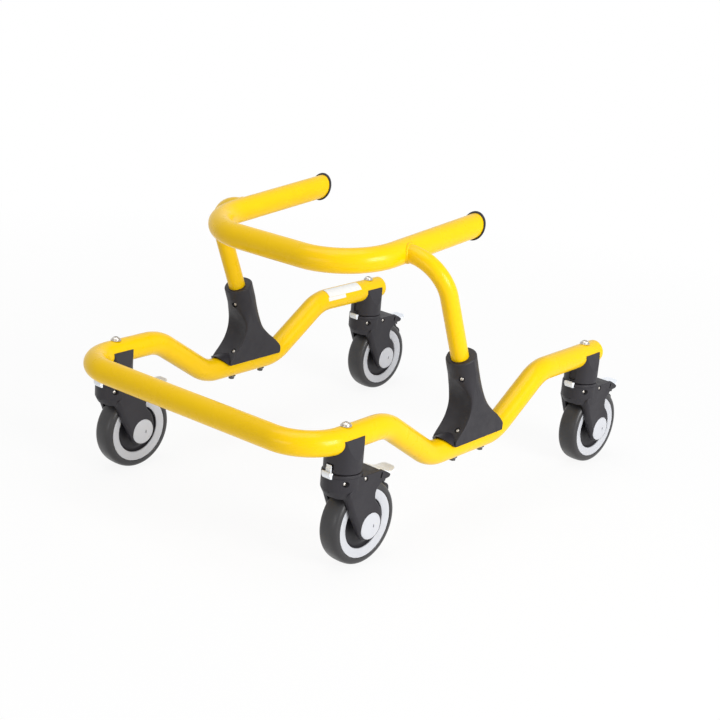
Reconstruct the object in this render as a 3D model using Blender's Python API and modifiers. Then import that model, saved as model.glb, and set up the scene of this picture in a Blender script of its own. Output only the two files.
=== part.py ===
"""Posterior gait trainer: a tubular walker on four braked casters that stands behind its user.

+Z is up, +Y is the closed rear bar, and the open side for the user faces -Y. The origin is on the
floor, midway between the legs. All sizes are in metres.
"""

import math

import bmesh
import bpy
from mathutils import Matrix, Vector

OBJECT_NAME = "posterior_gait_trainer"

# Fits
GAP = 0.0003                     # between faces that touch on the real object
BORE_PLAY = 0.0003               # around bolts, pins and axles in their holes

# Main tube
TUBE_RADIUS = 0.019
TUBE_WALL = 0.002
TUBE_RESOLUTION = 5              # gives 14 sides
BORE_RESOLUTION = 3              # gives 10 sides

# Wheels
WHEEL_RADIUS = 0.065
WHEEL_STEPS = 32
TREAD_HALF = 0.0075              # half of the flat of the tread
TYRE_HALF = 0.0155
SHOULDER_DROP = 0.006            # from the tread down to the tyre's side
TYRE_DEPTH = 0.0118              # from the tread in to the rim
RIM_HALF = 0.0155
RIM_DEPTH = 0.0132               # from the rim's edge in to the dark centre
CENTRE_WEB_HALF = 0.006
HUB_RADIUS = 0.013
AXLE_RADIUS = 0.004

RIM_RADIUS = WHEEL_RADIUS - TYRE_DEPTH
CENTRE_RADIUS = RIM_RADIUS - RIM_DEPTH

# Caster stack, from the wheel up to the tube
TRAIL = 0.0397                   # swivel axis to axle
SEAM_RISE = 0.024                # tyre's top to the seam between fork and housing
HOUSING_HEIGHT = 0.0468          # seam to the tube's axis
CASTER_TURN = math.radians(-2.5)

AXLE_Z = WHEEL_RADIUS
TYRE_TOP = AXLE_Z + WHEEL_RADIUS
SEAM_Z = TYRE_TOP + SEAM_RISE
LEG_Z = SEAM_Z + HOUSING_HEIGHT

# Base tube
TRACK = 0.4786                   # between the legs' axes
REAR_BAR_Y = 0.3955
LEG_END_Y = -0.342
CORNER_RADIUS = 0.0668
DIP_DEPTH = 0.0763
DIP_REAR_Y = 0.1128              # where the rear slope would meet the dip's level stretch
DIP_FRONT_Y = -0.0541
SLOPE = math.radians(33.35)
SIDE_BEND_RADIUS = 0.076
CORNER_STEPS = 7
SIDE_BEND_STEPS = 3

LEG_X = TRACK / 2
DIP_Z = LEG_Z - DIP_DEPTH
SLOPE_RUN = DIP_DEPTH / math.tan(SLOPE)

# Caster places along the legs
REAR_SETBACK = 0.0775            # from the rear bar's axis
FRONT_SETBACK = 0.032            # from the legs' ends

REAR_CASTER_Y = REAR_BAR_Y - REAR_SETBACK
FRONT_CASTER_Y = LEG_END_Y + FRONT_SETBACK

# Handlebar
HANDLE_INSET = 0.080             # from the legs' axes in to the arms'
HANDLE_BAR_Y = 0.2349
HANDLE_RISE = 0.2142             # from the legs' level axis to the rear bar's axis
HANDLE_PITCH = math.radians(5.02)
HANDLE_LENGTH = 0.2937           # from the rear bar's axis to the arms' ends
HANDLE_END_SLANT = math.radians(21)  # of the arms' ends, which are longer at the top
HANDLE_CORNER_RADIUS = 0.095
HANDLE_CORNER_STEPS = 7

HANDLE_X = LEG_X - HANDLE_INSET
HANDLE_BAR_Z = LEG_Z + HANDLE_RISE

# Posts
POST_RADIUS = 0.014
POST_WALL = 0.002
POST_RESOLUTION = 4
POST_BORE_RESOLUTION = 2
POST_INSET = 0.0039              # from the legs' axes in to the posts'
POST_LEAN = math.radians(23.12)  # top leans towards the rear
POST_FOOT_Y = -0.0097            # where the post's axis would meet the dip's axis
POST_BEND_RADIUS = 0.062
POST_BEND_STEPS = 6

POST_X = LEG_X - POST_INSET

# Plugs
PLUG_LENGTH = 0.018
HANDLE_PLUG_FLANGE_RADIUS = 0.0223
HANDLE_PLUG_FLANGE = 0.003
BASE_PLUG_LIP = 0.0018
PLUG_STEPS = 16

# Post brackets
BRACKET_HALF = 0.0223
COLLAR_RADIUS = 0.0248
COLLAR_HEIGHT = 0.1435           # from the dip's axis to the collar's centre, straight up
SKIRT_RISE = 0.0085              # from the dip's axis up to the skirt's lower edge
SADDLE_WALL = 0.0042
SADDLE_REAR_Y = 0.075            # the saddle's rear end at the skirt's lower edge
SADDLE_REACH = 0.017             # how far its crest stands out further
BRACKET_EDGE = 0.006
POST_END_RISE = 0.0095           # from the dip tube's top to the post's lower end
COLLAR_RINGS = (0.0, 0.014, 0.028)
# Each ring's rear and front points, as (y, z) from the skirt's rear end, and its share of the flare
BRACKET_RINGS = (
    ((-0.0195, 0.073), (-0.0705, 0.078), 0.45),
    ((-0.024, 0.054), (-0.0795, 0.056), 0.8),
    ((-0.0215, 0.036), (-0.095, 0.040), 0.95),
    ((-0.0145, 0.023), (-0.1095, 0.029), 1.0),
    ((-0.005, 0.012), (-0.122, 0.018), 1.0),
    ((0.0, 0.006), (-0.128, 0.010), 1.0),
    ((0.0, 0.0), (-0.124, 0.0), 1.0),
)

# Stem housing
HOUSING_RADIUS = 0.0283
HOUSING_STEPS = 20
EAR_RISE = 0.005                 # from the tube's axis up to the ears' tops
EAR_TOP_HALF = 0.0197
EAR_FLAT_DROP = 0.029
LOCK_SLOT_HALF = 0.0063
LOCK_SLOT_DEPTH = 0.003
LOCK_SLOT_RISE = 0.010           # from the seam up to the slot's lower end

# Stem bolt
BOLT_RADIUS = 0.005
BOLT_HEAD_RADIUS = 0.0065
BOLT_HEAD = 0.0045
WASHER_RADIUS = 0.0085
WASHER = 0.0012
BOLT_DEPTH = 0.018               # from the seam down into the fork
BOLT_STEPS = 12

# Fork
FORK_HALF = 0.0287
FORK_CAVITY_HALF = 0.018
TYRE_CLEARANCE = 0.0035
HEAD_RADIUS = 0.0291
HEAD_HEIGHT = 0.0244             # from the seam down to the crease over the arms
HEAD_TAPER = 0.0146              # from there down to its lower end
HEAD_LOW_RADIUS = 0.0225
HEAD_STEPS = 20
LOBE_RADIUS = 0.023
HOOD_RISE = 0.019                # from the tyre's top up to the hood's top
HOOD_PLATE_END = 0.0515          # from the swivel axis to the end of the hood's top plate
CHEEK_INNER_HALF = 0.0243
PEDAL_POCKET_HALF = 0.020
FORK_CHAMFER = 0.003
# The hood's tip and rear edge, as (trail, height) from the axle's trail and the tyre's top
HOOD_TIP = (
    (0.0270, 0.0127),
    (0.0340, 0.0077),
    (0.0315, 0.0042),
    (0.0164, 0.0018),
    (0.0127, -0.0027),
    (0.0075, -0.0072),
    (0.0051, -0.0164),
    (0.0070, -0.0260),
)
# The arms' rear edge below it, as (trail, height) from the axle
ARM_REAR = (
    (0.0157, 0.0286),
    (0.0209, 0.0170),
)
# The arms' front edge, as (trail, height) from the swivel axis and the tyre's top
ARM_FRONT = (
    (-0.0009, -0.0389),
    (-0.0083, -0.0218),
    (-0.0131, -0.0096),
    (-0.0125, -0.0030),
    (-0.0060, 0.0030),
)
ARCH_DROP = 0.0107               # from the tyre's top down to the arch over its front

# Brake pedal and its pin
PIN_T = 0.020                    # from the swivel axis
PIN_RISE = 0.0135                # from the tyre's top
PIN_RADIUS = 0.0022
PIN_PROUD = 0.0006
PEDAL_HALF = 0.0195
PEDAL_BOSS_RADIUS = 0.0037
PEDAL_ROOT = (0.0016, 0.0225)    # from the hood's plate end and the tyre's top
# The pad, as (trail, height) from the axle's trail and the tyre's top
PEDAL_PAD = (
    (0.0190, 0.0240),
    (0.0285, 0.0238),
    (0.0380, 0.0200),
    (0.0450, 0.0162),
    (0.0492, 0.0118),
    (0.0485, 0.0070),
    (0.0430, 0.0042),
    (0.0300, 0.0080),
)

# Brake shoe
SHOE_PIVOT_T = 0.053
SHOE_PIVOT_RISE = 0.011
SHOE_PIVOT_RADIUS = 0.0017
SHOE_EAR_RADIUS = 0.0045
SHOE_CLEARANCE = 0.0025
SHOE_THICKNESS = 0.0035
SHOE_HALF = 0.0238
CLAW_HALF = 0.006

# Hub caps
CAP_RADIUS = 0.0206
CAP_POCKET = 0.0018
CAP_PROUD = 0.0008
CAP_STEPS = 16

# Direction lock
LOCK_FIN_HALF = 0.0043
LOCK_FIN_THICKNESS = 0.002
LOCK_FIN_LENGTH = 0.026
LOCK_TRAVEL = 0.0105
LOCK_PAD_HALF = 0.0074
LOCK_PAD_RISE = 0.0035           # from the seam up to the pad's top
LOCK_PAD_THICKNESS = 0.0022
LOCK_BOSS_DEPTH = 0.026

CORNERS = (
    ("rear_left", 1, REAR_CASTER_Y),
    ("rear_right", -1, REAR_CASTER_Y),
    ("front_left", 1, FRONT_CASTER_Y),
    ("front_right", -1, FRONT_CASTER_Y),
)
LOCKED_CORNER = "rear_right"

# The fork's side view has (trail, height, lateral) for its own axes
SIDE_VIEW = Matrix(((0, 0, -1, 0), (-1, 0, 0, 0), (0, 1, 0, 0), (0, 0, 0, 1)))
ALONG_X = Matrix.Rotation(math.pi / 2, 4, "Y")


def clear_scene():
    """Remove the objects that a new file starts with."""
    for leftover in list(bpy.data.objects):
        bpy.data.objects.remove(leftover, do_unlink=True)


def new_collection(name):
    """Add a collection to the scene."""
    collection = bpy.data.collections.new(name)
    bpy.context.scene.collection.children.link(collection)
    return collection


clear_scene()
PARTS = new_collection(OBJECT_NAME)
CUTTERS = new_collection("cutters")


def new_material(name, colour, roughness, metallic=0.0):
    """Make a Principled material."""
    material = bpy.data.materials.new(name)
    material.use_nodes = True
    shader = material.node_tree.nodes["Principled BSDF"]
    shader.inputs["Base Color"].default_value = (*colour, 1.0)
    shader.inputs["Roughness"].default_value = roughness
    shader.inputs["Metallic"].default_value = metallic
    return material


YELLOW = new_material("yellow_powder_coat", (0.93, 0.61, 0.005), 0.25)
BLACK_PLASTIC = new_material("black_plastic", (0.035, 0.033, 0.038), 0.5)
TYRE_RUBBER = new_material("tyre_rubber", (0.022, 0.021, 0.023), 0.6)
WHITE_PLASTIC = new_material("white_plastic", (0.78, 0.77, 0.82), 0.35)
GREY_PLASTIC = new_material("pale_grey_plastic", (0.6, 0.62, 0.64), 0.3)
STEEL = new_material("zinc_plated_steel", (0.6, 0.6, 0.6), 0.3, 1.0)


def add_object(name, mesh):
    """Put a mesh into the parts collection as a new object."""
    made = bpy.data.objects.new(name, mesh)
    PARTS.objects.link(made)
    return made


def evaluated_mesh(source):
    """The mesh of an object with its modifiers or its curve worked out."""
    bpy.context.view_layer.update()
    graph = bpy.context.evaluated_depsgraph_get()
    return bpy.data.meshes.new_from_object(source.evaluated_get(graph))


def solid_from_curve(name, curve):
    """Turn a curve into one closed mesh object, with its loose caps welded."""
    guide = add_object(name + "_curve", curve)
    mesh = evaluated_mesh(guide)
    place = guide.matrix_world.copy()
    bpy.data.objects.remove(guide, do_unlink=True)
    cage = bmesh.new()
    cage.from_mesh(mesh)
    bmesh.ops.remove_doubles(cage, verts=cage.verts, dist=0.00001)
    bmesh.ops.recalc_face_normals(cage, faces=cage.faces)
    cage.to_mesh(mesh)
    cage.free()
    made = add_object(name, mesh)
    made.matrix_world = place
    return made


def tube(name, points, radius, resolution):
    """A round bar along the points."""
    curve = bpy.data.curves.new(name, "CURVE")
    curve.dimensions = "3D"
    curve.bevel_depth = radius
    curve.bevel_resolution = resolution
    curve.use_fill_caps = True
    spline = curve.splines.new("POLY")
    spline.points.add(len(points) - 1)
    for spline_point, point in zip(spline.points, points):
        spline_point.co = (*point, 1.0)
    return solid_from_curve(name, curve)


def plate(name, outline, half_thickness, view=SIDE_VIEW):
    """A flat plate of the outline, centred on the plane of the view."""
    curve = bpy.data.curves.new(name, "CURVE")
    curve.dimensions = "2D"
    curve.fill_mode = "BOTH"
    curve.extrude = half_thickness
    spline = curve.splines.new("POLY")
    spline.points.add(len(outline) - 1)
    for spline_point, point in zip(spline.points, outline):
        spline_point.co = (point[0], point[1], 0.0, 1.0)
    spline.use_cyclic_u = True
    made = solid_from_curve(name, curve)
    made.data.transform(view)
    return made


def turned(name, profile, steps, closed=False):
    """Turn a profile of (radius, height) points about Z; it runs down its outer side."""
    mesh = bpy.data.meshes.new(name)
    cage = bmesh.new()
    corners = [cage.verts.new((radius, 0.0, height)) for radius, height in profile]
    for start, end in zip(corners, corners[1:]):
        cage.edges.new((start, end))
    if closed:
        cage.edges.new((corners[-1], corners[0]))
    cage.to_mesh(mesh)
    cage.free()
    made = add_object(name, mesh)
    screw = made.modifiers.new("turn", "SCREW")
    screw.axis = "Z"
    screw.angle = 2 * math.pi
    screw.steps = steps
    screw.render_steps = steps
    screw.use_merge_vertices = True
    screw.merge_threshold = 0.00001
    settle(made)
    made.data.transform(Matrix.Rotation(math.pi / steps, 4, "Z"))
    return made


def rod(name, radius, low, high, steps, centre=(0.0, 0.0)):
    """An upright cylinder between two heights."""
    mesh = bpy.data.meshes.new(name)
    cage = bmesh.new()
    bmesh.ops.create_cone(cage, cap_ends=True, segments=steps, radius1=radius, radius2=radius,
                          depth=high - low)
    cage.to_mesh(mesh)
    cage.free()
    mesh.transform(Matrix.Translation((centre[0], centre[1], (low + high) / 2)))
    return add_object(name, mesh)


def cross_rod(name, radius, half_length, centre, steps=12):
    """A cylinder across the fork, centred at (trail, height) and optionally off to one side."""
    made = rod(name, radius, -half_length, half_length, steps)
    made.data.transform(Matrix.Rotation(math.pi / steps, 4, "Z"))
    made.data.transform(ALONG_X)
    trail, height = centre[0], centre[1]
    side = centre[2] if len(centre) > 2 else 0.0
    made.data.transform(Matrix.Translation((side, -trail, height)))
    return made


def block(name, low, high):
    """A box between two corners."""
    mesh = bpy.data.meshes.new(name)
    cage = bmesh.new()
    bmesh.ops.create_cube(cage, size=1.0)
    cage.to_mesh(mesh)
    cage.free()
    low, high = Vector(low), Vector(high)
    size = high - low
    mesh.transform(Matrix.Translation((low + high) / 2) @ Matrix.Diagonal((*size, 1.0)))
    return add_object(name, mesh)


def caster_block(name, trail_range, half_width, height_range):
    """A box in the caster's own (trail, lateral, height) terms, centred across the fork."""
    low = (-half_width, -trail_range[1], height_range[0])
    high = (half_width, -trail_range[0], height_range[1])
    return block(name, low, high)


def boolean(target, tool, operation):
    """Cut the tool out of the target, or join it on; the tool becomes a hidden guide."""
    for collection in list(tool.users_collection):
        collection.objects.unlink(tool)
    CUTTERS.objects.link(tool)
    tool.name = "cutter_" + tool.name
    tool.hide_render = True
    tool.display_type = "WIRE"
    modifier = target.modifiers.new(operation.lower(), "BOOLEAN")
    modifier.operation = operation
    modifier.solver = "EXACT"
    modifier.object = tool


def cut(target, *tools):
    """Cut each tool out of the target."""
    for tool in tools:
        boolean(target, tool, "DIFFERENCE")


def join(target, *tools):
    """Join each tool to the target."""
    for tool in tools:
        boolean(target, tool, "UNION")


def settle(made):
    """Work the modifiers of an object into its mesh and remove the guides that they used."""
    used = [modifier.object for modifier in made.modifiers if modifier.type == "BOOLEAN"]
    mesh = evaluated_mesh(made)
    made.modifiers.clear()
    made.data = mesh
    for guide in used:
        bpy.data.objects.remove(guide, do_unlink=True)


def finish(made, material, sharp=math.radians(35)):
    """Give an object its material and smooth shading between its sharp edges."""
    made.data.materials.clear()
    made.data.materials.append(material)
    made.data.shade_smooth()
    made.data.set_sharp_from_angle(angle=sharp)
    return made


def rounded_path(corners, radii, steps):
    """A path through the corners, each inner one rounded to its radius in so many steps."""
    points = [corners[0]]
    for before, corner, after, radius, count in zip(corners, corners[1:], corners[2:], radii, steps):
        back = (before - corner).normalized()
        ahead = (after - corner).normalized()
        turn = math.pi - back.angle(ahead)
        centre = corner + (back + ahead).normalized() * radius / math.cos(turn / 2)
        start = corner + back * radius * math.tan(turn / 2) - centre
        axis = start.cross(corner - centre).normalized()
        for step in range(count + 1):
            points.append(centre + Matrix.Rotation(turn * step / count, 3, axis) @ start)
    points.append(corners[-1])
    return points


def arc(centre, radius, start, end, count):
    """Points of an arc in a side view, angles in degrees."""
    points = []
    for step in range(count + 1):
        angle = math.radians(start + (end - start) * step / count)
        points.append((centre[0] + radius * math.cos(angle), centre[1] + radius * math.sin(angle)))
    return points


# Base tube

def base_path():
    """Centre line of the base tube, from the left leg's end round the rear to the right leg's."""
    def leg(side):
        return [
            Vector((side * LEG_X, LEG_END_Y, LEG_Z)),
            Vector((side * LEG_X, DIP_FRONT_Y - SLOPE_RUN, LEG_Z)),
            Vector((side * LEG_X, DIP_FRONT_Y, DIP_Z)),
            Vector((side * LEG_X, DIP_REAR_Y, DIP_Z)),
            Vector((side * LEG_X, DIP_REAR_Y + SLOPE_RUN, LEG_Z)),
            Vector((side * LEG_X, REAR_BAR_Y, LEG_Z)),
        ]
    corners = leg(1) + leg(-1)[::-1]
    radii = [SIDE_BEND_RADIUS] * 4 + [CORNER_RADIUS] * 2 + [SIDE_BEND_RADIUS] * 4
    steps = [SIDE_BEND_STEPS] * 4 + [CORNER_STEPS] * 2 + [SIDE_BEND_STEPS] * 4
    return rounded_path(corners, radii, steps)


def through_bore(points, overshoot=0.002):
    """The same path, a little longer at both ends, so that a bore runs out of the tube."""
    first = points[0] + (points[0] - points[1]).normalized() * overshoot
    last = points[-1] + (points[-1] - points[-2]).normalized() * overshoot
    return [first] + points[1:-1] + [last]


def make_base_tube():
    """The hollow base tube, drilled for the four stem bolts."""
    path = base_path()
    made = tube("base_tube", path, TUBE_RADIUS, TUBE_RESOLUTION)
    cut(made, tube("base_bore", through_bore(path), TUBE_RADIUS - TUBE_WALL, BORE_RESOLUTION))
    for corner, side, place_y in CORNERS:
        hole = rod("stem_hole_" + corner, BOLT_RADIUS + BORE_PLAY, LEG_Z - 2 * TUBE_RADIUS,
                   LEG_Z + 2 * TUBE_RADIUS, BOLT_STEPS, (side * LEG_X, place_y))
        cut(made, hole)
    return finish(made, YELLOW)


# Handlebar and posts

def handle_point(side, along):
    """A point of an arm's centre line, so far along from the rear bar."""
    return Vector((
        side * HANDLE_X,
        HANDLE_BAR_Y - along * math.cos(HANDLE_PITCH),
        HANDLE_BAR_Z + along * math.sin(HANDLE_PITCH),
    ))


def handle_path():
    """Centre line of the handlebar, from the left arm's end to the right arm's."""
    corners = [handle_point(1, HANDLE_LENGTH), handle_point(1, 0.0)]
    corners += [handle_point(-1, 0.0), handle_point(-1, HANDLE_LENGTH)]
    return rounded_path(corners, [HANDLE_CORNER_RADIUS] * 2, [HANDLE_CORNER_STEPS] * 2)


ARM_OUTWARD = Vector((0.0, -math.cos(HANDLE_PITCH), math.sin(HANDLE_PITCH)))


def slanted(outward, slant):
    """A shear along the outward direction that leans a square end face by the slant."""
    upward = outward.cross(Vector((1.0, 0.0, 0.0)))
    shear = Matrix.Identity(4)
    for row in range(3):
        for column in range(3):
            shear[row][column] += math.tan(slant) * outward[row] * upward[column]
    return shear


def handle_tube(name, path, radius, resolution):
    """A bar along the handlebar whose two ends lean by the slant."""
    made = tube(name, path, radius, resolution)
    shear = slanted(ARM_OUTWARD, HANDLE_END_SLANT)
    for side in (1, -1):
        end = handle_point(side, HANDLE_LENGTH)
        for vertex in made.data.vertices:
            offset = vertex.co - end
            if offset.dot(ARM_OUTWARD) > -GAP and abs(offset.x) < HANDLE_X:
                vertex.co = end + shear @ offset
    return made


def post_point(side, height):
    """A point of a post's straight axis at a height."""
    return Vector((side * POST_X, POST_FOOT_Y + (height - DIP_Z) * math.tan(POST_LEAN), height))


POST_END_Z = DIP_Z + TUBE_RADIUS + POST_END_RISE
# Where the post's leaning plane meets the arm's centre line
POST_TOP_Z = (
    HANDLE_BAR_Z + math.tan(HANDLE_PITCH)
    * (HANDLE_BAR_Y - POST_FOOT_Y + DIP_Z * math.tan(POST_LEAN))
) / (1 + math.tan(HANDLE_PITCH) * math.tan(POST_LEAN))


def post_path(side):
    """Centre line of a post, from its lower end up and over to the arm."""
    top = post_point(side, POST_TOP_Z)
    inner = Vector((side * HANDLE_X, top.y, top.z))
    corners = [post_point(side, POST_END_Z), top, inner]
    return rounded_path(corners, [POST_BEND_RADIUS], [POST_BEND_STEPS])


def make_upper_frame():
    """The handlebar with both posts welded on, all hollow; the arms' tube runs on unbroken."""
    path = handle_path()
    made = handle_tube("upper_frame", path, TUBE_RADIUS, TUBE_RESOLUTION)
    for side, label in ((1, "left"), (-1, "right")):
        join(made, tube("post_" + label, post_path(side), POST_RADIUS, POST_RESOLUTION))
    for side, label in ((1, "left"), (-1, "right")):
        bore = tube("post_bore_" + label, through_bore(post_path(side)), POST_RADIUS - POST_WALL,
                    POST_BORE_RESOLUTION)
        cut(bore, tube("arm_wall_" + label, path, TUBE_RADIUS + GAP, TUBE_RESOLUTION))
        settle(bore)
        cut(made, bore)
    cut(made, handle_tube("handle_bore", through_bore(path), TUBE_RADIUS - TUBE_WALL, BORE_RESOLUTION))
    return finish(made, YELLOW)


# Tube end plugs

def make_plug(name, flange_radius, flange, place, outward, slant=0.0):
    """A plug whose flange covers the tube's end and whose spigot fills its bore."""
    bore_flats = (TUBE_RADIUS - TUBE_WALL) * math.cos(math.pi / (2 * (BORE_RESOLUTION + 2)))
    spigot = bore_flats - GAP
    chamfer = 0.3 * flange
    profile = [
        (0.0, GAP + flange),
        (flange_radius - chamfer, GAP + flange),
        (flange_radius, GAP + flange - chamfer),
        (flange_radius, GAP),
        (spigot, GAP),
        (spigot, -PLUG_LENGTH),
        (0.0, -PLUG_LENGTH),
    ]
    made = turned(name, profile, PLUG_STEPS)
    made.data.transform(slanted(outward, slant) @ outward.to_track_quat("Z", "Y").to_matrix().to_4x4())
    made.location = place
    return finish(made, BLACK_PLASTIC)


def make_plugs():
    """The four tube end plugs."""
    for side, label in ((1, "left"), (-1, "right")):
        make_plug("handlebar_plug_" + label, HANDLE_PLUG_FLANGE_RADIUS, HANDLE_PLUG_FLANGE,
                  handle_point(side, HANDLE_LENGTH), ARM_OUTWARD, HANDLE_END_SLANT)
        make_plug("base_end_plug_" + label, TUBE_RADIUS, BASE_PLUG_LIP,
                  Vector((side * LEG_X, LEG_END_Y, LEG_Z)), Vector((0.0, -1.0, 0.0)))


# Post brackets

def bracket_ring(rear, front, centre_x, half, edge, count=4):
    """A rounded rectangle in a plane that holds X, between a rear and a front point."""
    rear, front = Vector((0.0, *rear)), Vector((0.0, *front))
    along = (rear - front).normalized()
    reach = (rear - front).length / 2
    middle = (rear + front) / 2 + Vector((centre_x, 0.0, 0.0))
    edge = min(edge, half, reach)
    points = []
    for quarter in range(4):
        turn = quarter * math.pi / 2
        across_sign = 1 if quarter in (0, 3) else -1
        along_sign = 1 if quarter in (0, 1) else -1
        corner_x = across_sign * (half - edge)
        corner_v = along_sign * (reach - edge)
        for step in range(count + 1):
            angle = turn + step / count * math.pi / 2
            side_x = corner_x + edge * math.cos(angle)
            side_v = corner_v + edge * math.sin(angle)
            points.append(middle + Vector((side_x, 0.0, 0.0)) + along * side_v)
    return points


def loft(name, rings):
    """A closed skin over a stack of rings with as many points each."""
    mesh = bpy.data.meshes.new(name)
    cage = bmesh.new()
    rows = [[cage.verts.new(point) for point in ring] for ring in rings]
    for upper, lower in zip(rows, rows[1:]):
        for index in range(len(upper)):
            following = (index + 1) % len(upper)
            cage.faces.new((upper[index], upper[following], lower[following], lower[index]))
    cage.faces.new(rows[0])
    cage.faces.new(rows[-1][::-1])
    bmesh.ops.remove_doubles(cage, verts=cage.verts, dist=0.00001)
    bmesh.ops.recalc_face_normals(cage, faces=cage.faces)
    cage.to_mesh(mesh)
    cage.free()
    return add_object(name, mesh)


def make_bracket(side, label):
    """A moulded bracket: a round collar on the post that flares into a saddle on the dip."""
    foot_z = DIP_Z + SKIRT_RISE
    lean = Vector((math.sin(POST_LEAN), math.cos(POST_LEAN)))
    level = Vector((math.cos(POST_LEAN), -math.sin(POST_LEAN)))
    top_point = post_point(side, DIP_Z + COLLAR_HEIGHT - GAP)
    top = Vector((top_point.y, top_point.z))

    def collar(down):
        middle = top - lean * down
        return middle + level * COLLAR_RADIUS, middle - level * COLLAR_RADIUS

    def section(rear, front, share):
        """A ring between two points given from the saddle's rear end and the skirt's edge."""
        rear = (SADDLE_REAR_Y + rear[0], foot_z + rear[1])
        front = (SADDLE_REAR_Y + front[0], foot_z + front[1])
        centre_x = side * (POST_X + (LEG_X - POST_X) * share)
        half = COLLAR_RADIUS + (BRACKET_HALF - COLLAR_RADIUS) * share
        edge = COLLAR_RADIUS + (BRACKET_EDGE - COLLAR_RADIUS) * share
        return bracket_ring(rear, front, centre_x, half, edge)

    rings = [bracket_ring(*collar(down), side * POST_X, COLLAR_RADIUS, COLLAR_RADIUS)
             for down in COLLAR_RINGS]
    rings += [section(*ring) for ring in BRACKET_RINGS]
    made = loft("post_bracket_" + label, rings)

    saddle_radius = TUBE_RADIUS + SADDLE_WALL
    saddle = tube("saddle_" + label, [Vector((side * LEG_X, SADDLE_REAR_Y - 0.02, DIP_Z)),
                                      Vector((side * LEG_X, DIP_REAR_Y, DIP_Z))],
                  saddle_radius, TUBE_RESOLUTION)
    crest_z = DIP_Z + saddle_radius
    low_z = DIP_Z - 2 * saddle_radius
    slant = SADDLE_REACH / (crest_z - foot_z)
    far_y = SADDLE_REAR_Y + 4 * saddle_radius
    trim = [
        (-SADDLE_REAR_Y, foot_z),
        (-SADDLE_REAR_Y - slant * (crest_z + saddle_radius - foot_z), crest_z + saddle_radius),
        (-far_y, crest_z + saddle_radius),
        (-far_y, low_z),
        (0.0, low_z),
        (0.0, foot_z),
    ]
    trim_half = LEG_X + 2 * saddle_radius
    cut(saddle, plate("saddle_trim_" + label, trim, trim_half))
    settle(saddle)
    join(made, saddle)
    cut(made, tube("seat_" + label, base_path(), TUBE_RADIUS + GAP, TUBE_RESOLUTION))
    post_end = post_point(side, POST_END_Z - GAP)
    bore_top = post_point(side, DIP_Z + 2 * COLLAR_HEIGHT)
    cut(made, tube("post_socket_" + label, [post_end, bore_top], POST_RADIUS + GAP, POST_RESOLUTION))
    return finish(made, BLACK_PLASTIC)


# Casters, each modelled about its swivel axis with the wheel trailing towards -Y

def make_housing(corner, place):
    """The housing between tube and fork, with ears up both sides of the tube."""
    top = LEG_Z + EAR_RISE
    made = rod("stem_housing_" + corner, HOUSING_RADIUS, SEAM_Z, top, HOUSING_STEPS)
    across = Matrix(((-1, 0, 0, 0), (0, 0, 1, 0), (0, 1, 0, 0), (0, 0, 0, 1)))
    beyond = HOUSING_RADIUS + 0.01
    for side, label in ((1, "a"), (-1, "b")):
        wedge = [
            (side * EAR_TOP_HALF, top),
            (side * HOUSING_RADIUS, top - EAR_FLAT_DROP),
            (side * beyond, top - EAR_FLAT_DROP),
            (side * beyond, top + 0.01),
            (side * EAR_TOP_HALF, top + 0.01),
        ]
        cut(made, plate("ear_flat_" + label + corner, wedge, 2 * HOUSING_RADIUS, across))
    slot = caster_block("lock_slot_" + corner,
                        (-HOUSING_RADIUS - 0.005, -HOUSING_RADIUS + LOCK_SLOT_DEPTH),
                        LOCK_SLOT_HALF, (SEAM_Z + LOCK_SLOT_RISE, LEG_Z))
    bore = rod("stem_bore_" + corner, BOLT_RADIUS + BORE_PLAY, SEAM_Z - 0.01, top + 0.01, BOLT_STEPS)
    cut(made, slot, bore)
    settle(made)
    made.location = place
    cut(made, tube("tube_seat_" + corner, base_path(), TUBE_RADIUS + GAP, TUBE_RESOLUTION))
    return finish(made, BLACK_PLASTIC)


def make_stem_bolt():
    """The bolt from the tube's top, through the housing, into the fork."""
    seat = LEG_Z + TUBE_RADIUS + GAP
    head = seat + WASHER
    profile = [
        (0.0, head + BOLT_HEAD),
        (0.6 * BOLT_HEAD_RADIUS, head + 0.9 * BOLT_HEAD),
        (BOLT_HEAD_RADIUS, head + 0.4 * BOLT_HEAD),
        (BOLT_HEAD_RADIUS, head),
        (WASHER_RADIUS, head),
        (WASHER_RADIUS, seat),
        (BOLT_RADIUS, seat),
        (BOLT_RADIUS, SEAM_Z - BOLT_DEPTH),
        (0.0, SEAM_Z - BOLT_DEPTH),
    ]
    return turned("stem_bolt", profile, BOLT_STEPS)


def tangent_angle(point, centre, radius):
    """Angle in degrees of the touching point of the line from a point to the front of a circle."""
    across, up = point[0] - centre[0], point[1] - centre[1]
    return math.degrees(math.atan2(up, across) + math.acos(radius / math.hypot(across, up)))


def fork_outline():
    """The fork's side view, as (trail, height) points."""
    hood = TYRE_TOP + HOOD_RISE
    axle = (TRAIL, AXLE_Z)
    front = [(across, TYRE_TOP + up) for across, up in ARM_FRONT]
    lobe_end = tangent_angle(front[0], axle, LOBE_RADIUS)
    outline = [
        (front[-1][0], hood),
        (TRAIL + 0.0145, hood),
    ]
    outline += [(TRAIL + across, TYRE_TOP + up) for across, up in HOOD_TIP]
    outline += [(TRAIL + across, AXLE_Z + up) for across, up in ARM_REAR]
    outline += arc(axle, LOBE_RADIUS, 12.0, lobe_end - 360.0, 9)
    return outline + front


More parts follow.
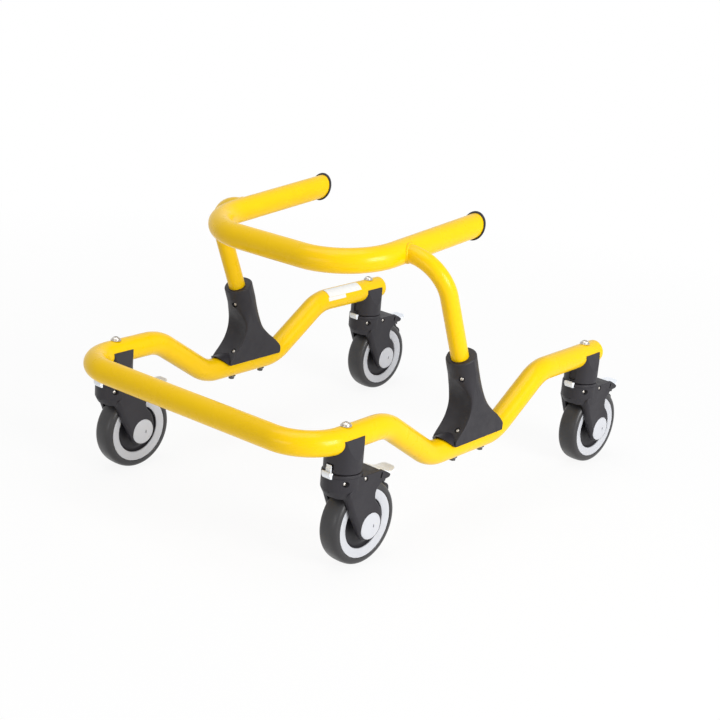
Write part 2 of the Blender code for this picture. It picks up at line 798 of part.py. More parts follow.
def make_fork():
    """The fork with its hood, pockets for wheel, pedal and shoe, and all its bores."""
    head_top = SEAM_Z - GAP
    made = plate("fork", fork_outline(), FORK_HALF)
    edge = made.modifiers.new("soft_edge", "BEVEL")
    edge.width = FORK_CHAMFER
    edge.segments = 1
    edge.limit_method = "ANGLE"
    edge.angle_limit = math.radians(60)
    head_profile = [
        (0.0, head_top),
        (HEAD_RADIUS - 0.001, head_top),
        (HEAD_RADIUS, head_top - 0.001),
        (HEAD_RADIUS, SEAM_Z - HEAD_HEIGHT),
        ((HEAD_RADIUS + HEAD_LOW_RADIUS) / 2 + 0.0012, SEAM_Z - HEAD_HEIGHT - HEAD_TAPER / 2),
        (HEAD_LOW_RADIUS, SEAM_Z - HEAD_HEIGHT - HEAD_TAPER),
        (0.0, SEAM_Z - HEAD_HEIGHT - HEAD_TAPER),
    ]
    fin_inner = HOUSING_RADIUS + GAP
    fin_outer = fin_inner + LOCK_FIN_THICKNESS + 2 * GAP
    pad_outer = fin_outer + LOCK_PAD_THICKNESS
    boss = caster_block("lock_boss", (-pad_outer, -HOUSING_RADIUS + 0.004), LOCK_PAD_HALF,
                        (SEAM_Z - LOCK_BOSS_DEPTH - 0.002, head_top))
    pad = caster_block("lock_pad", (-pad_outer + 0.0002, -fin_outer), LOCK_PAD_HALF - 0.0002,
                       (SEAM_Z - 0.004, SEAM_Z + LOCK_PAD_RISE))
    join(made, turned("head", head_profile, HEAD_STEPS), boss, pad)
    settle(made)

    hood_under = TYRE_TOP + PIN_RISE + PEDAL_BOSS_RADIUS + GAP
    wheel_room = cross_rod("wheel_room", WHEEL_RADIUS + TYRE_CLEARANCE, FORK_CAVITY_HALF,
                           (TRAIL, AXLE_Z), WHEEL_STEPS)
    pedal_room = caster_block("pedal_room", (PIN_T - PEDAL_BOSS_RADIUS - 0.002, HOOD_PLATE_END + 0.01),
                              PEDAL_POCKET_HALF, (TYRE_TOP, hood_under))
    shoe_room = caster_block("shoe_room", (SHOE_PIVOT_T - SHOE_EAR_RADIUS - 0.0015, TRAIL + 0.05),
                             CHEEK_INNER_HALF, (TYRE_TOP - 0.013, hood_under))
    open_end = caster_block("open_end", (HOOD_PLATE_END, TRAIL + 0.05), CHEEK_INNER_HALF,
                            (hood_under - 0.001, SEAM_Z))
    arch_room = caster_block("arch_room", (-HEAD_RADIUS - 0.01, 0.0), FORK_CAVITY_HALF,
                             (AXLE_Z, TYRE_TOP - ARCH_DROP))
    cut(made, wheel_room, arch_room, pedal_room, shoe_room, open_end)
    channel = caster_block("lock_channel", (-fin_outer, -fin_inner + GAP), LOCK_FIN_HALF + GAP,
                           (SEAM_Z - LOCK_BOSS_DEPTH + 0.002, SEAM_Z + 0.01))
    stem = rod("stem_bore", BOLT_RADIUS + BORE_PLAY, SEAM_Z - BOLT_DEPTH - GAP, SEAM_Z + 0.01, BOLT_STEPS)
    beyond = FORK_HALF + 0.005
    cut(
        made, channel, stem,
        cross_rod("axle_bore", AXLE_RADIUS + BORE_PLAY, beyond, (TRAIL, AXLE_Z)),
        cross_rod("pin_bore", PIN_RADIUS + BORE_PLAY, beyond, (PIN_T, TYRE_TOP + PIN_RISE)),
        cross_rod("shoe_bore", SHOE_PIVOT_RADIUS + BORE_PLAY, beyond,
                  (SHOE_PIVOT_T, TYRE_TOP + SHOE_PIVOT_RISE)),
    )
    pocket_middle = FORK_HALF - CAP_POCKET - GAP + 0.005
    for side, label in ((1, "a"), (-1, "b")):
        cut(made, cross_rod("cap_pocket_" + label, CAP_RADIUS + GAP, 0.005,
                            (TRAIL, AXLE_Z, side * pocket_middle), CAP_STEPS))
    settle(made)
    return made


def make_direction_lock():
    """The fin that slides up in front of the housing."""
    inner = HOUSING_RADIUS + 2 * GAP
    top = SEAM_Z + LOCK_PAD_RISE
    return caster_block("direction_lock", (-inner - LOCK_FIN_THICKNESS, -inner), LOCK_FIN_HALF,
                        (top - LOCK_FIN_LENGTH, top))


def make_pedal():
    """The brake pedal: a boss on its pin, an arm under the hood and a broad sloping pad."""
    pin_z = TYRE_TOP + PIN_RISE
    boss = arc((PIN_T, pin_z), PEDAL_BOSS_RADIUS, 270.0, 90.0, 5)
    outline = boss + [
        (HOOD_PLATE_END + 0.0006, pin_z + PEDAL_BOSS_RADIUS),
        (HOOD_PLATE_END + PEDAL_ROOT[0], TYRE_TOP + PEDAL_ROOT[1]),
    ]
    outline += [(TRAIL + across, TYRE_TOP + up) for across, up in PEDAL_PAD]
    outline.append((TRAIL + 0.0100, pin_z - PEDAL_BOSS_RADIUS))
    made = plate("brake_pedal", outline, PEDAL_HALF)
    cut(made, cross_rod("pedal_bore", PIN_RADIUS + BORE_PLAY, 2 * PEDAL_HALF, (PIN_T, pin_z)))
    settle(made)
    return made


def make_shoe():
    """The brake shoe: two ears on short trunnions, a bridge and a pointed claw over the tyre."""
    axle = (TRAIL, AXLE_Z)
    pivot = (SHOE_PIVOT_T, TYRE_TOP + SHOE_PIVOT_RISE)
    inner = WHEEL_RADIUS + SHOE_CLEARANCE
    outer = inner + SHOE_THICKNESS
    bridge = arc(axle, outer, 78.0, 66.0, 2) + arc(axle, inner, 66.0, 78.0, 2)
    made = plate("brake_shoe", bridge, SHOE_HALF)
    ears = arc(pivot, SHOE_EAR_RADIUS, 190.0, 20.0, 6)
    ears += arc(axle, outer - 0.0006, 67.0, 75.0, 2)
    ear_plates = plate("shoe_ears", ears, SHOE_HALF - 0.0002)
    cut(ear_plates, caster_block("shoe_mouth", (0.0, 0.1), PEDAL_HALF + 0.0006,
                                 (TYRE_TOP - 0.05, TYRE_TOP + 0.05)))
    settle(ear_plates)
    claw = arc(axle, outer - 0.0002, 70.0, 42.0, 4) + [
        (TRAIL + (inner + 0.0022) * math.cos(math.radians(27.6)),
         AXLE_Z + (inner + 0.0022) * math.sin(math.radians(27.6))),
    ]
    claw += arc(axle, inner + 0.0002, 34.0, 70.0, 4)
    join(made, ear_plates, plate("shoe_claw", claw, CLAW_HALF))
    reach = FORK_HALF - SHOE_HALF + 0.002
    for side, label in ((1, "a"), (-1, "b")):
        join(made, cross_rod("trunnion_" + label, SHOE_PIVOT_RADIUS, reach / 2,
                             (*pivot, side * (FORK_HALF - 0.0004 - reach / 2))))
    settle(made)
    return made


def make_tyre():
    """The tyre, a ring with a flat tread and rounded shoulders."""
    out = WHEEL_RADIUS / math.cos(math.pi / WHEEL_STEPS)
    side = out - SHOULDER_DROP
    bore = RIM_RADIUS + GAP
    profile = [
        (side, TYRE_HALF),
        (out, TREAD_HALF),
        (out, -TREAD_HALF),
        (side, -TYRE_HALF),
        (bore, -TYRE_HALF),
        (bore, TYRE_HALF),
    ]
    return turned("tyre", profile, WHEEL_STEPS, closed=True)


def make_rim():
    """The white ring between the tyre and the dark wheel centre."""
    bore = CENTRE_RADIUS + GAP
    profile = [
        (RIM_RADIUS, RIM_HALF),
        (RIM_RADIUS, -RIM_HALF),
        (bore, -RIM_HALF),
        (bore, RIM_HALF),
    ]
    return turned("wheel_rim", profile, WHEEL_STEPS, closed=True)


def make_centre():
    """The dark wheel centre: a recessed web and a hub that spaces the fork's arms."""
    hub_half = FORK_CAVITY_HALF - GAP
    bore = AXLE_RADIUS + BORE_PLAY
    half_profile = [
        (bore, hub_half),
        (HUB_RADIUS, hub_half),
        (HUB_RADIUS, CENTRE_WEB_HALF),
        (CENTRE_RADIUS, CENTRE_WEB_HALF),
    ]
    profile = half_profile + [(radius, -height) for radius, height in reversed(half_profile)]
    return turned("wheel_centre", profile, CAP_STEPS, closed=True)


def make_cap(facing):
    """A hub cap that lies in the pocket over the axle's end, facing +X (1) or -X (-1)."""
    seat = FORK_HALF - CAP_POCKET
    face = FORK_HALF + CAP_PROUD
    profile = [
        (0.0, face),
        (CAP_RADIUS - 0.001, face),
        (CAP_RADIUS, face - 0.001),
        (CAP_RADIUS, seat),
        (0.0, seat),
    ]
    made = turned("hub_cap", profile, CAP_STEPS)
    made.data.transform(Matrix.Rotation(facing * math.pi / 2, 4, "Y"))
    return take_mesh(made)


def wheel_mesh(made):
    """Lay a turned wheel part's axis across the fork and hand over its mesh."""
    made.data.transform(ALONG_X)
    return take_mesh(made)


def take_mesh(made):
    """Keep the mesh of an object and remove the object."""
    mesh = made.data
    bpy.data.objects.remove(made, do_unlink=True)
    return mesh


def about(made, trail, height):
    """Move a mesh so that its object's origin lies at (trail, height), and hand it over."""
    made.data.transform(Matrix.Translation((0.0, trail, -height)))
    return take_mesh(made)


def empty(name, location, parent=None, turn=0.0):
    """A frame that moving pieces hang on."""
    made = bpy.data.objects.new(name, None)
    PARTS.objects.link(made)
    made.location = location
    made.rotation_euler = (0.0, 0.0, turn)
    made.parent = parent
    return made


def add_piece(name, mesh, material, parent, location=(0.0, 0.0, 0.0)):
    """One piece of a caster, on its own object, which may share its mesh with the other casters."""
    made = add_object(name, mesh)
    made.parent = parent
    made.location = location
    return finish(made, material)


def make_casters():
    """Four casters from the same meshes."""
    axle = (0.0, -TRAIL, AXLE_Z)
    pin = (0.0, -PIN_T, TYRE_TOP + PIN_RISE)
    pivot = (0.0, -SHOE_PIVOT_T, TYRE_TOP + SHOE_PIVOT_RISE)
    axle_half = FORK_HALF - CAP_POCKET - GAP
    bolt = take_mesh(make_stem_bolt())
    fork = take_mesh(make_fork())
    lock = take_mesh(make_direction_lock())
    pedal = about(make_pedal(), PIN_T, pin[2])
    shoe = about(make_shoe(), SHOE_PIVOT_T, pivot[2])
    pin_rod = take_mesh(cross_rod("pedal_pin", PIN_RADIUS, FORK_HALF + PIN_PROUD, (0.0, 0.0)))
    axle_rod = take_mesh(cross_rod("axle", AXLE_RADIUS, axle_half, (0.0, 0.0)))
    tyre = wheel_mesh(make_tyre())
    rim = wheel_mesh(make_rim())
    centre = wheel_mesh(make_centre())
    caps = {facing: make_cap(facing) for facing in (1, -1)}
    for corner, side, place_y in CORNERS:
        place = (side * LEG_X, place_y, 0.0)
        make_housing(corner, place)
        add_piece("stem_bolt_" + corner, bolt, STEEL, None, place)
        swivel = empty("swivel_" + corner, place, turn=CASTER_TURN)
        add_piece("fork_" + corner, fork, BLACK_PLASTIC, swivel)
        add_piece("pedal_pin_" + corner, pin_rod, STEEL, swivel, pin)
        add_piece("axle_" + corner, axle_rod, STEEL, swivel, axle)
        for label, facing in (("outer", side), ("inner", -side)):
            add_piece(f"hub_cap_{label}_{corner}", caps[facing], WHITE_PLASTIC, swivel, axle)
        raised = LOCK_TRAVEL if corner == LOCKED_CORNER else 0.0
        add_piece("direction_lock_" + corner, lock, GREY_PLASTIC, swivel, (0.0, 0.0, raised))
        add_piece("brake_pedal_" + corner, pedal, GREY_PLASTIC, swivel, pin)
        add_piece("brake_shoe_" + corner, shoe, BLACK_PLASTIC, swivel, pivot)
        wheel = empty("wheel_" + corner, axle, swivel)
        add_piece("tyre_" + corner, tyre, TYRE_RUBBER, wheel)
        add_piece("wheel_rim_" + corner, rim, WHITE_PLASTIC, wheel)
        add_piece("wheel_centre_" + corner, centre, BLACK_PLASTIC, wheel)


make_base_tube()
make_upper_frame()
make_plugs()
for bracket_side, bracket_label in ((1, "left"), (-1, "right")):
    make_bracket(bracket_side, bracket_label)
make_casters()
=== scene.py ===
"""Looks of the posterior gait trainer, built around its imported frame.

Metres, +Z up, the closed rear bar towards +Y. A caster is made once about its swivel axis, in terms
of trail (from that axis towards -Y), height and side, and is then placed at the four corners.
"""

from math import cos, pi, radians, sin, sqrt, tan

import bmesh
import bpy
from mathutils import Matrix, Vector


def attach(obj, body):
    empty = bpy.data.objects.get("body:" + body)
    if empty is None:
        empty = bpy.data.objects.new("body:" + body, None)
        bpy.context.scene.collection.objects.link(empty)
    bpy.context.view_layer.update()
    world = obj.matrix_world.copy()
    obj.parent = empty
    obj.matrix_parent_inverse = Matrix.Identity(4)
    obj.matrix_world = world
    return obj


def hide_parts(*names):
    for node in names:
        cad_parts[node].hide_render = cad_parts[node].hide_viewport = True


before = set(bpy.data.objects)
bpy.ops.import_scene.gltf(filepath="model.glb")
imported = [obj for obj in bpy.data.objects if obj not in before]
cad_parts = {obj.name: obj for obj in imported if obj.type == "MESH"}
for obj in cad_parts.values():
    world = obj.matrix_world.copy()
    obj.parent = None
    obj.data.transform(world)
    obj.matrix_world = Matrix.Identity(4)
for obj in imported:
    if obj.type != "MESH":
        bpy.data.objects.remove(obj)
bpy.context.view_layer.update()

# The room that is left between pieces that meet
GAP = 0.0003

# Tubes
TUBE_RADIUS = 0.019
LEG_X = 0.2393
LEG_Z = 0.2008
DIP_Z = 0.1245
REAR_BAR_Y = 0.3955
LEG_END_Y = -0.342
CORNER_RADIUS = 0.0668
DIP_REAR_Y = 0.1128
DIP_FRONT_Y = -0.0541
SLOPE_RUN = (LEG_Z - DIP_Z) / tan(radians(33.35))
SIDE_BEND_RADIUS = 0.076
HANDLE_X = 0.1593
HANDLE_BAR_Y = 0.2349
HANDLE_BAR_Z = LEG_Z + 0.2142
HANDLE_PITCH = radians(5.02)
HANDLE_LENGTH = 0.2937
HANDLE_END_SLANT = radians(21)
HANDLE_CORNER_RADIUS = 0.095
ARM_OUTWARD = Vector((0, -cos(HANDLE_PITCH), sin(HANDLE_PITCH)))
POST_RADIUS = 0.014
POST_X = 0.2354
POST_LEAN = radians(23.12)
POST_UPWARD = Vector((0, sin(POST_LEAN), cos(POST_LEAN)))
POST_REARWARD = Vector((0, cos(POST_LEAN), -sin(POST_LEAN)))
POST_FOOT_Y = -0.0097
POST_BEND_RADIUS = 0.062
POST_END_Z = 0.153
POST_TOP_Z = (
    HANDLE_BAR_Z + tan(HANDLE_PITCH)
    * (HANDLE_BAR_Y - POST_FOOT_Y + DIP_Z * tan(POST_LEAN))
) / (1 + tan(HANDLE_PITCH) * tan(POST_LEAN))

# Casters, with places across the fork as (trail, height)
WHEEL_RADIUS = 0.065
TYRE_TOP = 2 * WHEEL_RADIUS
TRAIL = 0.0397
AXLE = (TRAIL, WHEEL_RADIUS)
SEAM_Z = 0.1554
HOUSING_RADIUS = 0.0283
HEAD_RADIUS = 0.0291
HEAD_STRETCH = 1.085
FORK_HALF = 0.0287
CASTER_TURN = radians(-2.5)
PIN = (0.02, TYRE_TOP + 0.0135)
SHOE_PIVOT = (0.053, TYRE_TOP + 0.011)
SIDE_SCREW = (-0.017, 0.1425)
PEDAL_HALF = 0.0195
PAD_HALF = 0.016
LOCK_TRAVEL = 0.0105
FIN_TOP = 0.1575
CORNERS = (
    ("rear_left", 1, 0.318),
    ("rear_right", -1, 0.318),
    ("front_left", 1, -0.31),
    ("front_right", -1, -0.31),
)
LOCKED_CORNER = "rear_right"

# From the plane of an outline to a caster seen from its side or front, and from a lathe to an axle
SIDE_VIEW = Matrix(((0, 0, -1, 0), (-1, 0, 0, 0), (0, 1, 0, 0), (0, 0, 0, 1)))
FRONT_VIEW = Matrix(((-1, 0, 0, 0), (0, 0, 1, 0), (0, 1, 0, 0), (0, 0, 0, 1)))
ACROSS = Matrix.Rotation(pi / 2, 4, "Y")


# Materials


class Look:
    """A Principled material whose colour, roughness and bump come from noise in the piece's own space.

    A noise is given as its scale and detail, and where needed its stretch along the axes.
    """

    def __init__(self, name, slot, colour, roughness, **sockets):
        self.material = bpy.data.materials.new(name)
        self.material.use_nodes = True
        self.tree = self.material.node_tree
        self.shader = self.tree.nodes["Principled BSDF"]
        self.shader.inputs["Base Color"].default_value = (*colour, 1)
        self.shader.inputs["Roughness"].default_value = roughness
        self.colour = colour
        for key, value in sockets.items():
            self.shader.inputs[key.replace("_", " ")].default_value = value
        self.place = self.add("ShaderNodeTexCoord").outputs["Object"]

    def add(self, kind, **inputs):
        node = self.tree.nodes.new(kind)
        for key, value in inputs.items():
            node.inputs[key].default_value = value
        return node

    def link(self, source, target):
        self.tree.links.new(source, target)

    def noise(self, scale, detail, stretch=None):
        node = self.add("ShaderNodeTexNoise", Scale=scale, Detail=detail)
        place = self.place
        if stretch:
            mapping = self.add("ShaderNodeMapping", Scale=stretch)
            self.link(place, mapping.inputs["Vector"])
            place = mapping.outputs["Vector"]
        self.link(place, node.inputs["Vector"])
        return node.outputs["Fac"]

    def remap(self, value, low, high, to_low, to_high):
        node = self.add("ShaderNodeMapRange")
        set_range(node, low, high, to_low, to_high)
        self.link(value, node.inputs[0])
        return node.outputs[0]

    def tint(self, noise, low, high, share, colour):
        """Where the noise rises from low to high, mix in up to this share of another colour."""
        factor = self.remap(self.noise(*noise), low, high, 0, share)
        node = self.tree.nodes.new("ShaderNodeMix")
        node.data_type = "RGBA"
        base = self.shader.inputs["Base Color"]
        if base.is_linked:
            self.link(base.links[0].from_socket, node.inputs[6])
        else:
            node.inputs[6].default_value = (*self.colour, 1)
        node.inputs[7].default_value = (*colour, 1)
        self.link(factor, node.inputs[0])
        self.link(node.outputs[2], base)
        return self

    def gloss(self, noise, low, high):
        """Let the roughness wander between low and high."""
        self.link(self.remap(self.noise(*noise), 0.3, 0.7, low, high), self.shader.inputs["Roughness"])
        return self

    def bump(self, noise, strength, distance):
        """Lay a fine relief over what relief there is so far."""
        node = self.add("ShaderNodeBump", Strength=strength, Distance=distance)
        self.link(self.noise(*noise), node.inputs["Height"])
        normal = self.shader.inputs["Normal"]
        if normal.is_linked:
            self.link(normal.links[0].from_socket, node.inputs["Normal"])
        self.link(node.outputs["Normal"], normal)
        return self


def set_range(node, *numbers):
    """Fill a Map Range node's limits: from low and high, to low and high."""
    for index, number in enumerate(numbers, 1):
        node.inputs[index].default_value = number


PAINT = (
    Look("yellow_powder_coat", "frame_paint", (0.89, 0.56, 0.0005), 0.3, Specular_IOR_Level=0.16,
         Coat_Weight=0.1, Coat_Roughness=0.1)
    .tint((9, 3), 0.35, 0.7, 0.5, (0.86, 0.53, 0.0005))
    .tint((160, 4), 0.6, 0.8, 0.04, (0.84, 0.5, 0.003))
    .gloss((40, 5), 0.24, 0.36)
    .bump((420, 2), 0.07, 0.0003)
    .bump((60, 2), 0.04, 0.0006)
)
BLACK = (
    Look("moulded_black_plastic", "black_plastic", (0.019, 0.0175, 0.022), 0.5, Specular_IOR_Level=0.33)
    .tint((30, 4), 0.4, 0.7, 0.6, (0.026, 0.024, 0.029))
    .tint((1500, 3), 0.62, 0.75, 0.3, (0.055, 0.052, 0.059))
    .gloss((80, 4), 0.4, 0.56)
    .bump((1900, 3), 0.35, 0.0002)
    .bump((45, 2), 0.05, 0.0008)
)
RUBBER = (
    Look("black_tyre_rubber", "tyre_rubber", (0.025, 0.024, 0.026), 0.4)
    .tint((26, 5), 0.45, 0.75, 0.5, (0.034, 0.032, 0.034))
    .tint((700, 4), 0.64, 0.78, 0.4, (0.08, 0.077, 0.075))
    .gloss((55, 4), 0.3, 0.48)
    .bump((900, 3), 0.2, 0.0002)
)
WHITE = (
    Look("white_plastic", "white_plastic", (0.57, 0.58, 0.615), 0.34)
    .tint((35, 4), 0.4, 0.72, 0.5, (0.54, 0.55, 0.58))
    .tint((420, 5), 0.66, 0.76, 0.35, (0.52, 0.51, 0.52))
    .gloss((60, 4), 0.28, 0.42)
    .bump((500, 2), 0.08, 0.0002)
)
GREY = (
    Look("translucent_grey_plastic", "grey_plastic", (0.88, 0.92, 0.98), 0.28)
    .tint((50, 4), 0.4, 0.7, 0.5, (0.83, 0.87, 0.93))
    .gloss((70, 4), 0.22, 0.36)
    .bump((600, 2), 0.1, 0.0002)
)
STEEL = (
    Look("zinc_plated_steel", "zinc_steel", (0.54, 0.51, 0.47), 0.3, Metallic=1)
    .tint((260, 4), 0.45, 0.7, 0.6, (0.42, 0.4, 0.37))
    .gloss((500, 4), 0.2, 0.42)
    .bump((900, 3, (1, 1, 6)), 0.15, 0.0001)
)
DARK_STEEL = (
    Look("blackened_steel", "zinc_steel", (0.09, 0.088, 0.085), 0.4, Metallic=0.8)
    .tint((300, 4), 0.5, 0.72, 0.6, (0.17, 0.165, 0.16))
    .gloss((400, 4), 0.32, 0.5)
    .bump((900, 3), 0.15, 0.0001)
)
PAPER = (
    Look("blank_label_film", "white_plastic", (0.8, 0.8, 0.78), 0.42)
    .tint((120, 4), 0.45, 0.7, 0.4, (0.72, 0.72, 0.7))
    .gloss((90, 3), 0.34, 0.5)
    .bump((160, 2), 0.12, 0.0002)
)


# Shapes

SAME_POINT = 0.000002
NO_LENGTH = 0.000001


def clamp(value, top=1):
    return min(top, max(0, value))


def leg_point(side, y, z):
    return Vector((side * LEG_X, y, z))


def link_object(name, mesh):
    made = bpy.data.objects.new(name, mesh)
    bpy.context.scene.collection.objects.link(made)
    return made


def shift(made, x, y, z):
    made.data.transform(Matrix.Translation((x, y, z)))
    return made


def skin(name, rows, caps=True, loop=False, wrap=True):
    """A mesh through rows of points; wrap closes each row and loop joins the last row to the first."""
    cage = bmesh.new()
    lines = [[cage.verts.new(point) for point in row] for row in rows]
    pairs = list(zip(lines, lines[1:]))
    if loop:
        pairs.append((lines[-1], lines[0]))
    for first, second in pairs:
        count = len(first)
        for index in range(count if wrap else count - 1):
            following = (index + 1) % count
            cage.faces.new((first[index], first[following], second[following], second[index]))
    if caps and not loop:
        cage.faces.new(lines[0][::-1])
        cage.faces.new(lines[-1])
    bmesh.ops.remove_doubles(cage, verts=cage.verts, dist=SAME_POINT)
    bmesh.ops.dissolve_degenerate(cage, edges=cage.edges, dist=NO_LENGTH)
    bmesh.ops.recalc_face_normals(cage, faces=cage.faces)
    mesh = bpy.data.meshes.new(name)
    cage.to_mesh(mesh)
    cage.free()
    return link_object(name, mesh)


def fillet(corners, steps=6):
    """A closed outline of (x, y, radius) corners with each corner rounded as far as its sides allow."""
    points = []
    count = len(corners)
    most = 0.49
    for index, (x, y, radius) in enumerate(corners):
        corner = Vector((x, y))
        if radius <= 0:
            points.append(corner)
            continue
        before = Vector(corners[index - 1][:2]) - corner
        after = Vector(corners[(index + 1) % count][:2]) - corner
        reach = most * min(before.length, after.length)
        before.normalize()
        after.normalize()
        half = before.angle(after) / 2
        radius = min(radius, reach * tan(half))
        middle = corner + (before + after).normalized() * radius / sin(half)
        start = corner + before * radius / tan(half) - middle
        end = corner + after * radius / tan(half) - middle
        turn = start.angle_signed(end)
        for step in range(steps + 1):
            points.append(middle + Matrix.Rotation(-turn * step / steps, 2) @ start)
    return [(point[0], point[1]) for point in points]


def smooth_line(points, count=6):
    """A smooth open line through the points."""
    points = [Vector(point) for point in points]
    padded = [2 * points[0] - points[1]] + points + [2 * points[-1] - points[-2]]
    line = []
    for a, b, c, d in zip(padded, padded[1:], padded[2:], padded[3:]):
        for step in range(count):
            u = step / count
            line.append(0.5 * (2 * b + (c - a) * u + (2 * a - 5 * b + 4 * c - d) * u * u
                               + (3 * b - 3 * c + d - a) * u ** 3))
    line.append(points[-1])
    return line


def arc(centre, radius, start, end, count):
    """Points along an arc between two angles in degrees."""
    angles = [radians(start + (end - start) * step / count) for step in range(count + 1)]
    return [(centre[0] + radius * cos(a), centre[1] + radius * sin(a)) for a in angles]


def slab(name, outline, half, edge=0, view=SIDE_VIEW, rings=4):
    """A plate of the outline with rounded rims; edge is one radius or one for each point."""
    outline = [Vector(point) for point in outline]
    count = len(outline)
    edges = list(edge) if hasattr(edge, "__len__") else [edge] * count
    area = sum(a.cross(b) for a, b in zip(outline, outline[1:] + outline[:1]))
    folded, least_spread = 0.01, 0.5
    inward = []
    for index, point in enumerate(outline):
        before = (point - outline[index - 1]).normalized()
        after = (outline[(index + 1) % count] - point).normalized()
        normal = Vector((-(before.y + after.y), before.x + after.x))
        if normal.length < folded:
            normal = Vector((-after.y, after.x))
        normal.normalize()
        if area < 0:
            normal.negate()
        spread = max(least_spread, abs(normal.dot(Vector((-after.y, after.x)))))
        inward.append(normal / spread)
    rows = []
    turns = [pi / 2 * step / rings for step in range(rings + 1)] if max(edges) > 0 else [pi / 2]
    for sign in (-1, 1):
        for turn in (turns if sign < 0 else turns[::-1]):
            row = []
            for point, normal, radius in zip(outline, inward, edges):
                moved = point + normal * radius * (1 - sin(turn))
                side = half - radius + radius * cos(turn)
                row.append(Vector((moved.x, moved.y, sign * side)))
            rows.append(row)
    made = skin(name, rows)
    made.data.transform(view)
    return made


def lathe(name, profile, steps=64, closed=False):
    """Turn a profile of (radius, height) points about Z."""
    rows = []
    for step in range(steps):
        angle = 2 * pi * step / steps
        rows.append([(r * cos(angle), r * sin(angle), h) for r, h in profile])
    return skin(name, rows, caps=False, loop=True, wrap=closed)


def mirrored(profile):
    """A profile of (radius, side) points followed back on the other side."""
    return profile + [(r, -x) for r, x in profile[::-1]]


def sweep(name, path, radius, sides=48):
    """A round bar along the path, closed at both ends."""
    rows = []
    tangent = (path[1] - path[0]).normalized()
    across = tangent.orthogonal().normalized()
    for index, point in enumerate(path):
        ahead = path[min(index + 1, len(path) - 1)] - path[max(index - 1, 0)]
        ahead.normalize()
        across = tangent.rotation_difference(ahead) @ across
        tangent = ahead
        other = tangent.cross(across)
        row = []
        for side in range(sides):
            angle = 2 * pi * side / sides
            row.append(point + radius * (cos(angle) * across + sin(angle) * other))
        rows.append(row)
    return skin(name, rows)


def bent_path(corners, radii, step=radians(4)):
    """A line through the corners, each inner one rounded to its radius."""
    points = [corners[0]]
    for before, corner, after, radius in zip(corners, corners[1:], corners[2:], radii):
        back = (before - corner).normalized()
        ahead = (after - corner).normalized()
        turn = pi - back.angle(ahead)
        centre = corner + (back + ahead).normalized() * radius / cos(turn / 2)
        start = corner + back * radius * tan(turn / 2) - centre
        axis = start.cross(corner - centre).normalized()
        count = max(3, round(turn / step))
        for index in range(count + 1):
            points.append(centre + Matrix.Rotation(turn * index / count, 3, axis) @ start)
    points.append(corners[-1])
    return points


def turned_to(direction):
    """The turn that brings Z to a direction."""
    return direction.to_track_quat("Z", "Y").to_matrix().to_4x4()


def baked(made):
    """The object with its modifiers worked into its mesh."""
    bpy.context.view_layer.update()
    graph = bpy.context.evaluated_depsgraph_get()
    mesh = bpy.data.meshes.new_from_object(made.evaluated_get(graph))
    made.modifiers.clear()
    made.data = mesh
    return made


def combine(target, tools, operation):
    for tool in tools:
        modifier = target.modifiers.new("shape", "BOOLEAN")
        modifier.operation = operation
        modifier.solver = "EXACT"
        modifier.object = tool
        baked(target)
        take(tool)
    return target


def cut(target, *tools):
    return combine(target, tools, "DIFFERENCE")


def join(target, *tools):
    return combine(target, tools, "UNION")


def merge(target, *others):
    """Put separate closed skins into one object."""
    cage = bmesh.new()
    for made in (target, *others):
        cage.from_mesh(made.data)
    cage.to_mesh(target.data)
    cage.free()
    for made in others:
        take(made)
    return target


def soften(made, width, angle=radians(40)):
    """Round the sharp edges that cutting leaves."""
    bevel = made.modifiers.new("soften", "BEVEL")
    bevel.width = width
    bevel.segments = 2
    bevel.limit_method = "ANGLE"
    bevel.angle_limit = angle
    return baked(made)


def dress(made, look, sharp=radians(38)):
    """Give a finished mesh its material and shading."""
    mesh = made.data
    mesh.materials.clear()
    mesh.materials.append(look.material)
    mesh.shade_smooth()
    mesh.set_sharp_from_angle(angle=sharp)
    modifier = made.modifiers.new("shading", "WEIGHTED_NORMAL")
    modifier.keep_sharp = True
    return baked(made)


def settle(made, name, body, *nodes):
    """Name a finished piece, hang it on its body and let it stand for its nodes."""
    made.name = name
    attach(made, body)
    if nodes:
        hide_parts(*nodes)
    return made


def place_caster(mesh, name, corner, body, *nodes, lift=0):
    """Put a copy of a caster's piece at a corner."""
    label, side, place_y = corner
    made = link_object(name, mesh)
    place = Matrix.Translation((side * LEG_X, place_y, lift))
    made.matrix_world = place @ Matrix.Rotation(CASTER_TURN, 4, "Z")
    return settle(made, f"{name}_{label}", f"{body}_{label}", *[f"{node}_{label}" for node in nodes])


def take(made):
    """Remove an object and give back its mesh."""
    mesh = made.data
    bpy.data.objects.remove(made, do_unlink=True)
    return mesh


def rectangle(across, up, radius, steps):
    """A rounded rectangle between two places across and two places up."""
    corners = ((0, 0), (1, 0), (1, 1), (0, 1))
    return fillet([(across[i], up[j], radius) for i, j in corners], steps)


def box_room(name, trail, half, height, edge=0.001):
    """A room with straight walls between two trails and two heights, to cut from the fork."""
    return slab(name, rectangle(trail, height, edge, 2), half)


def peg(name, radius, low, high, place, steps=32):
    """A round bar across the fork between two sides, at (trail, height)."""
    made = lathe(name, [(0, low), (radius, low), (radius, high), (0, high)], steps)
    made.data.transform(SIDE_VIEW @ Matrix.Translation((*place, 0)))
    return made


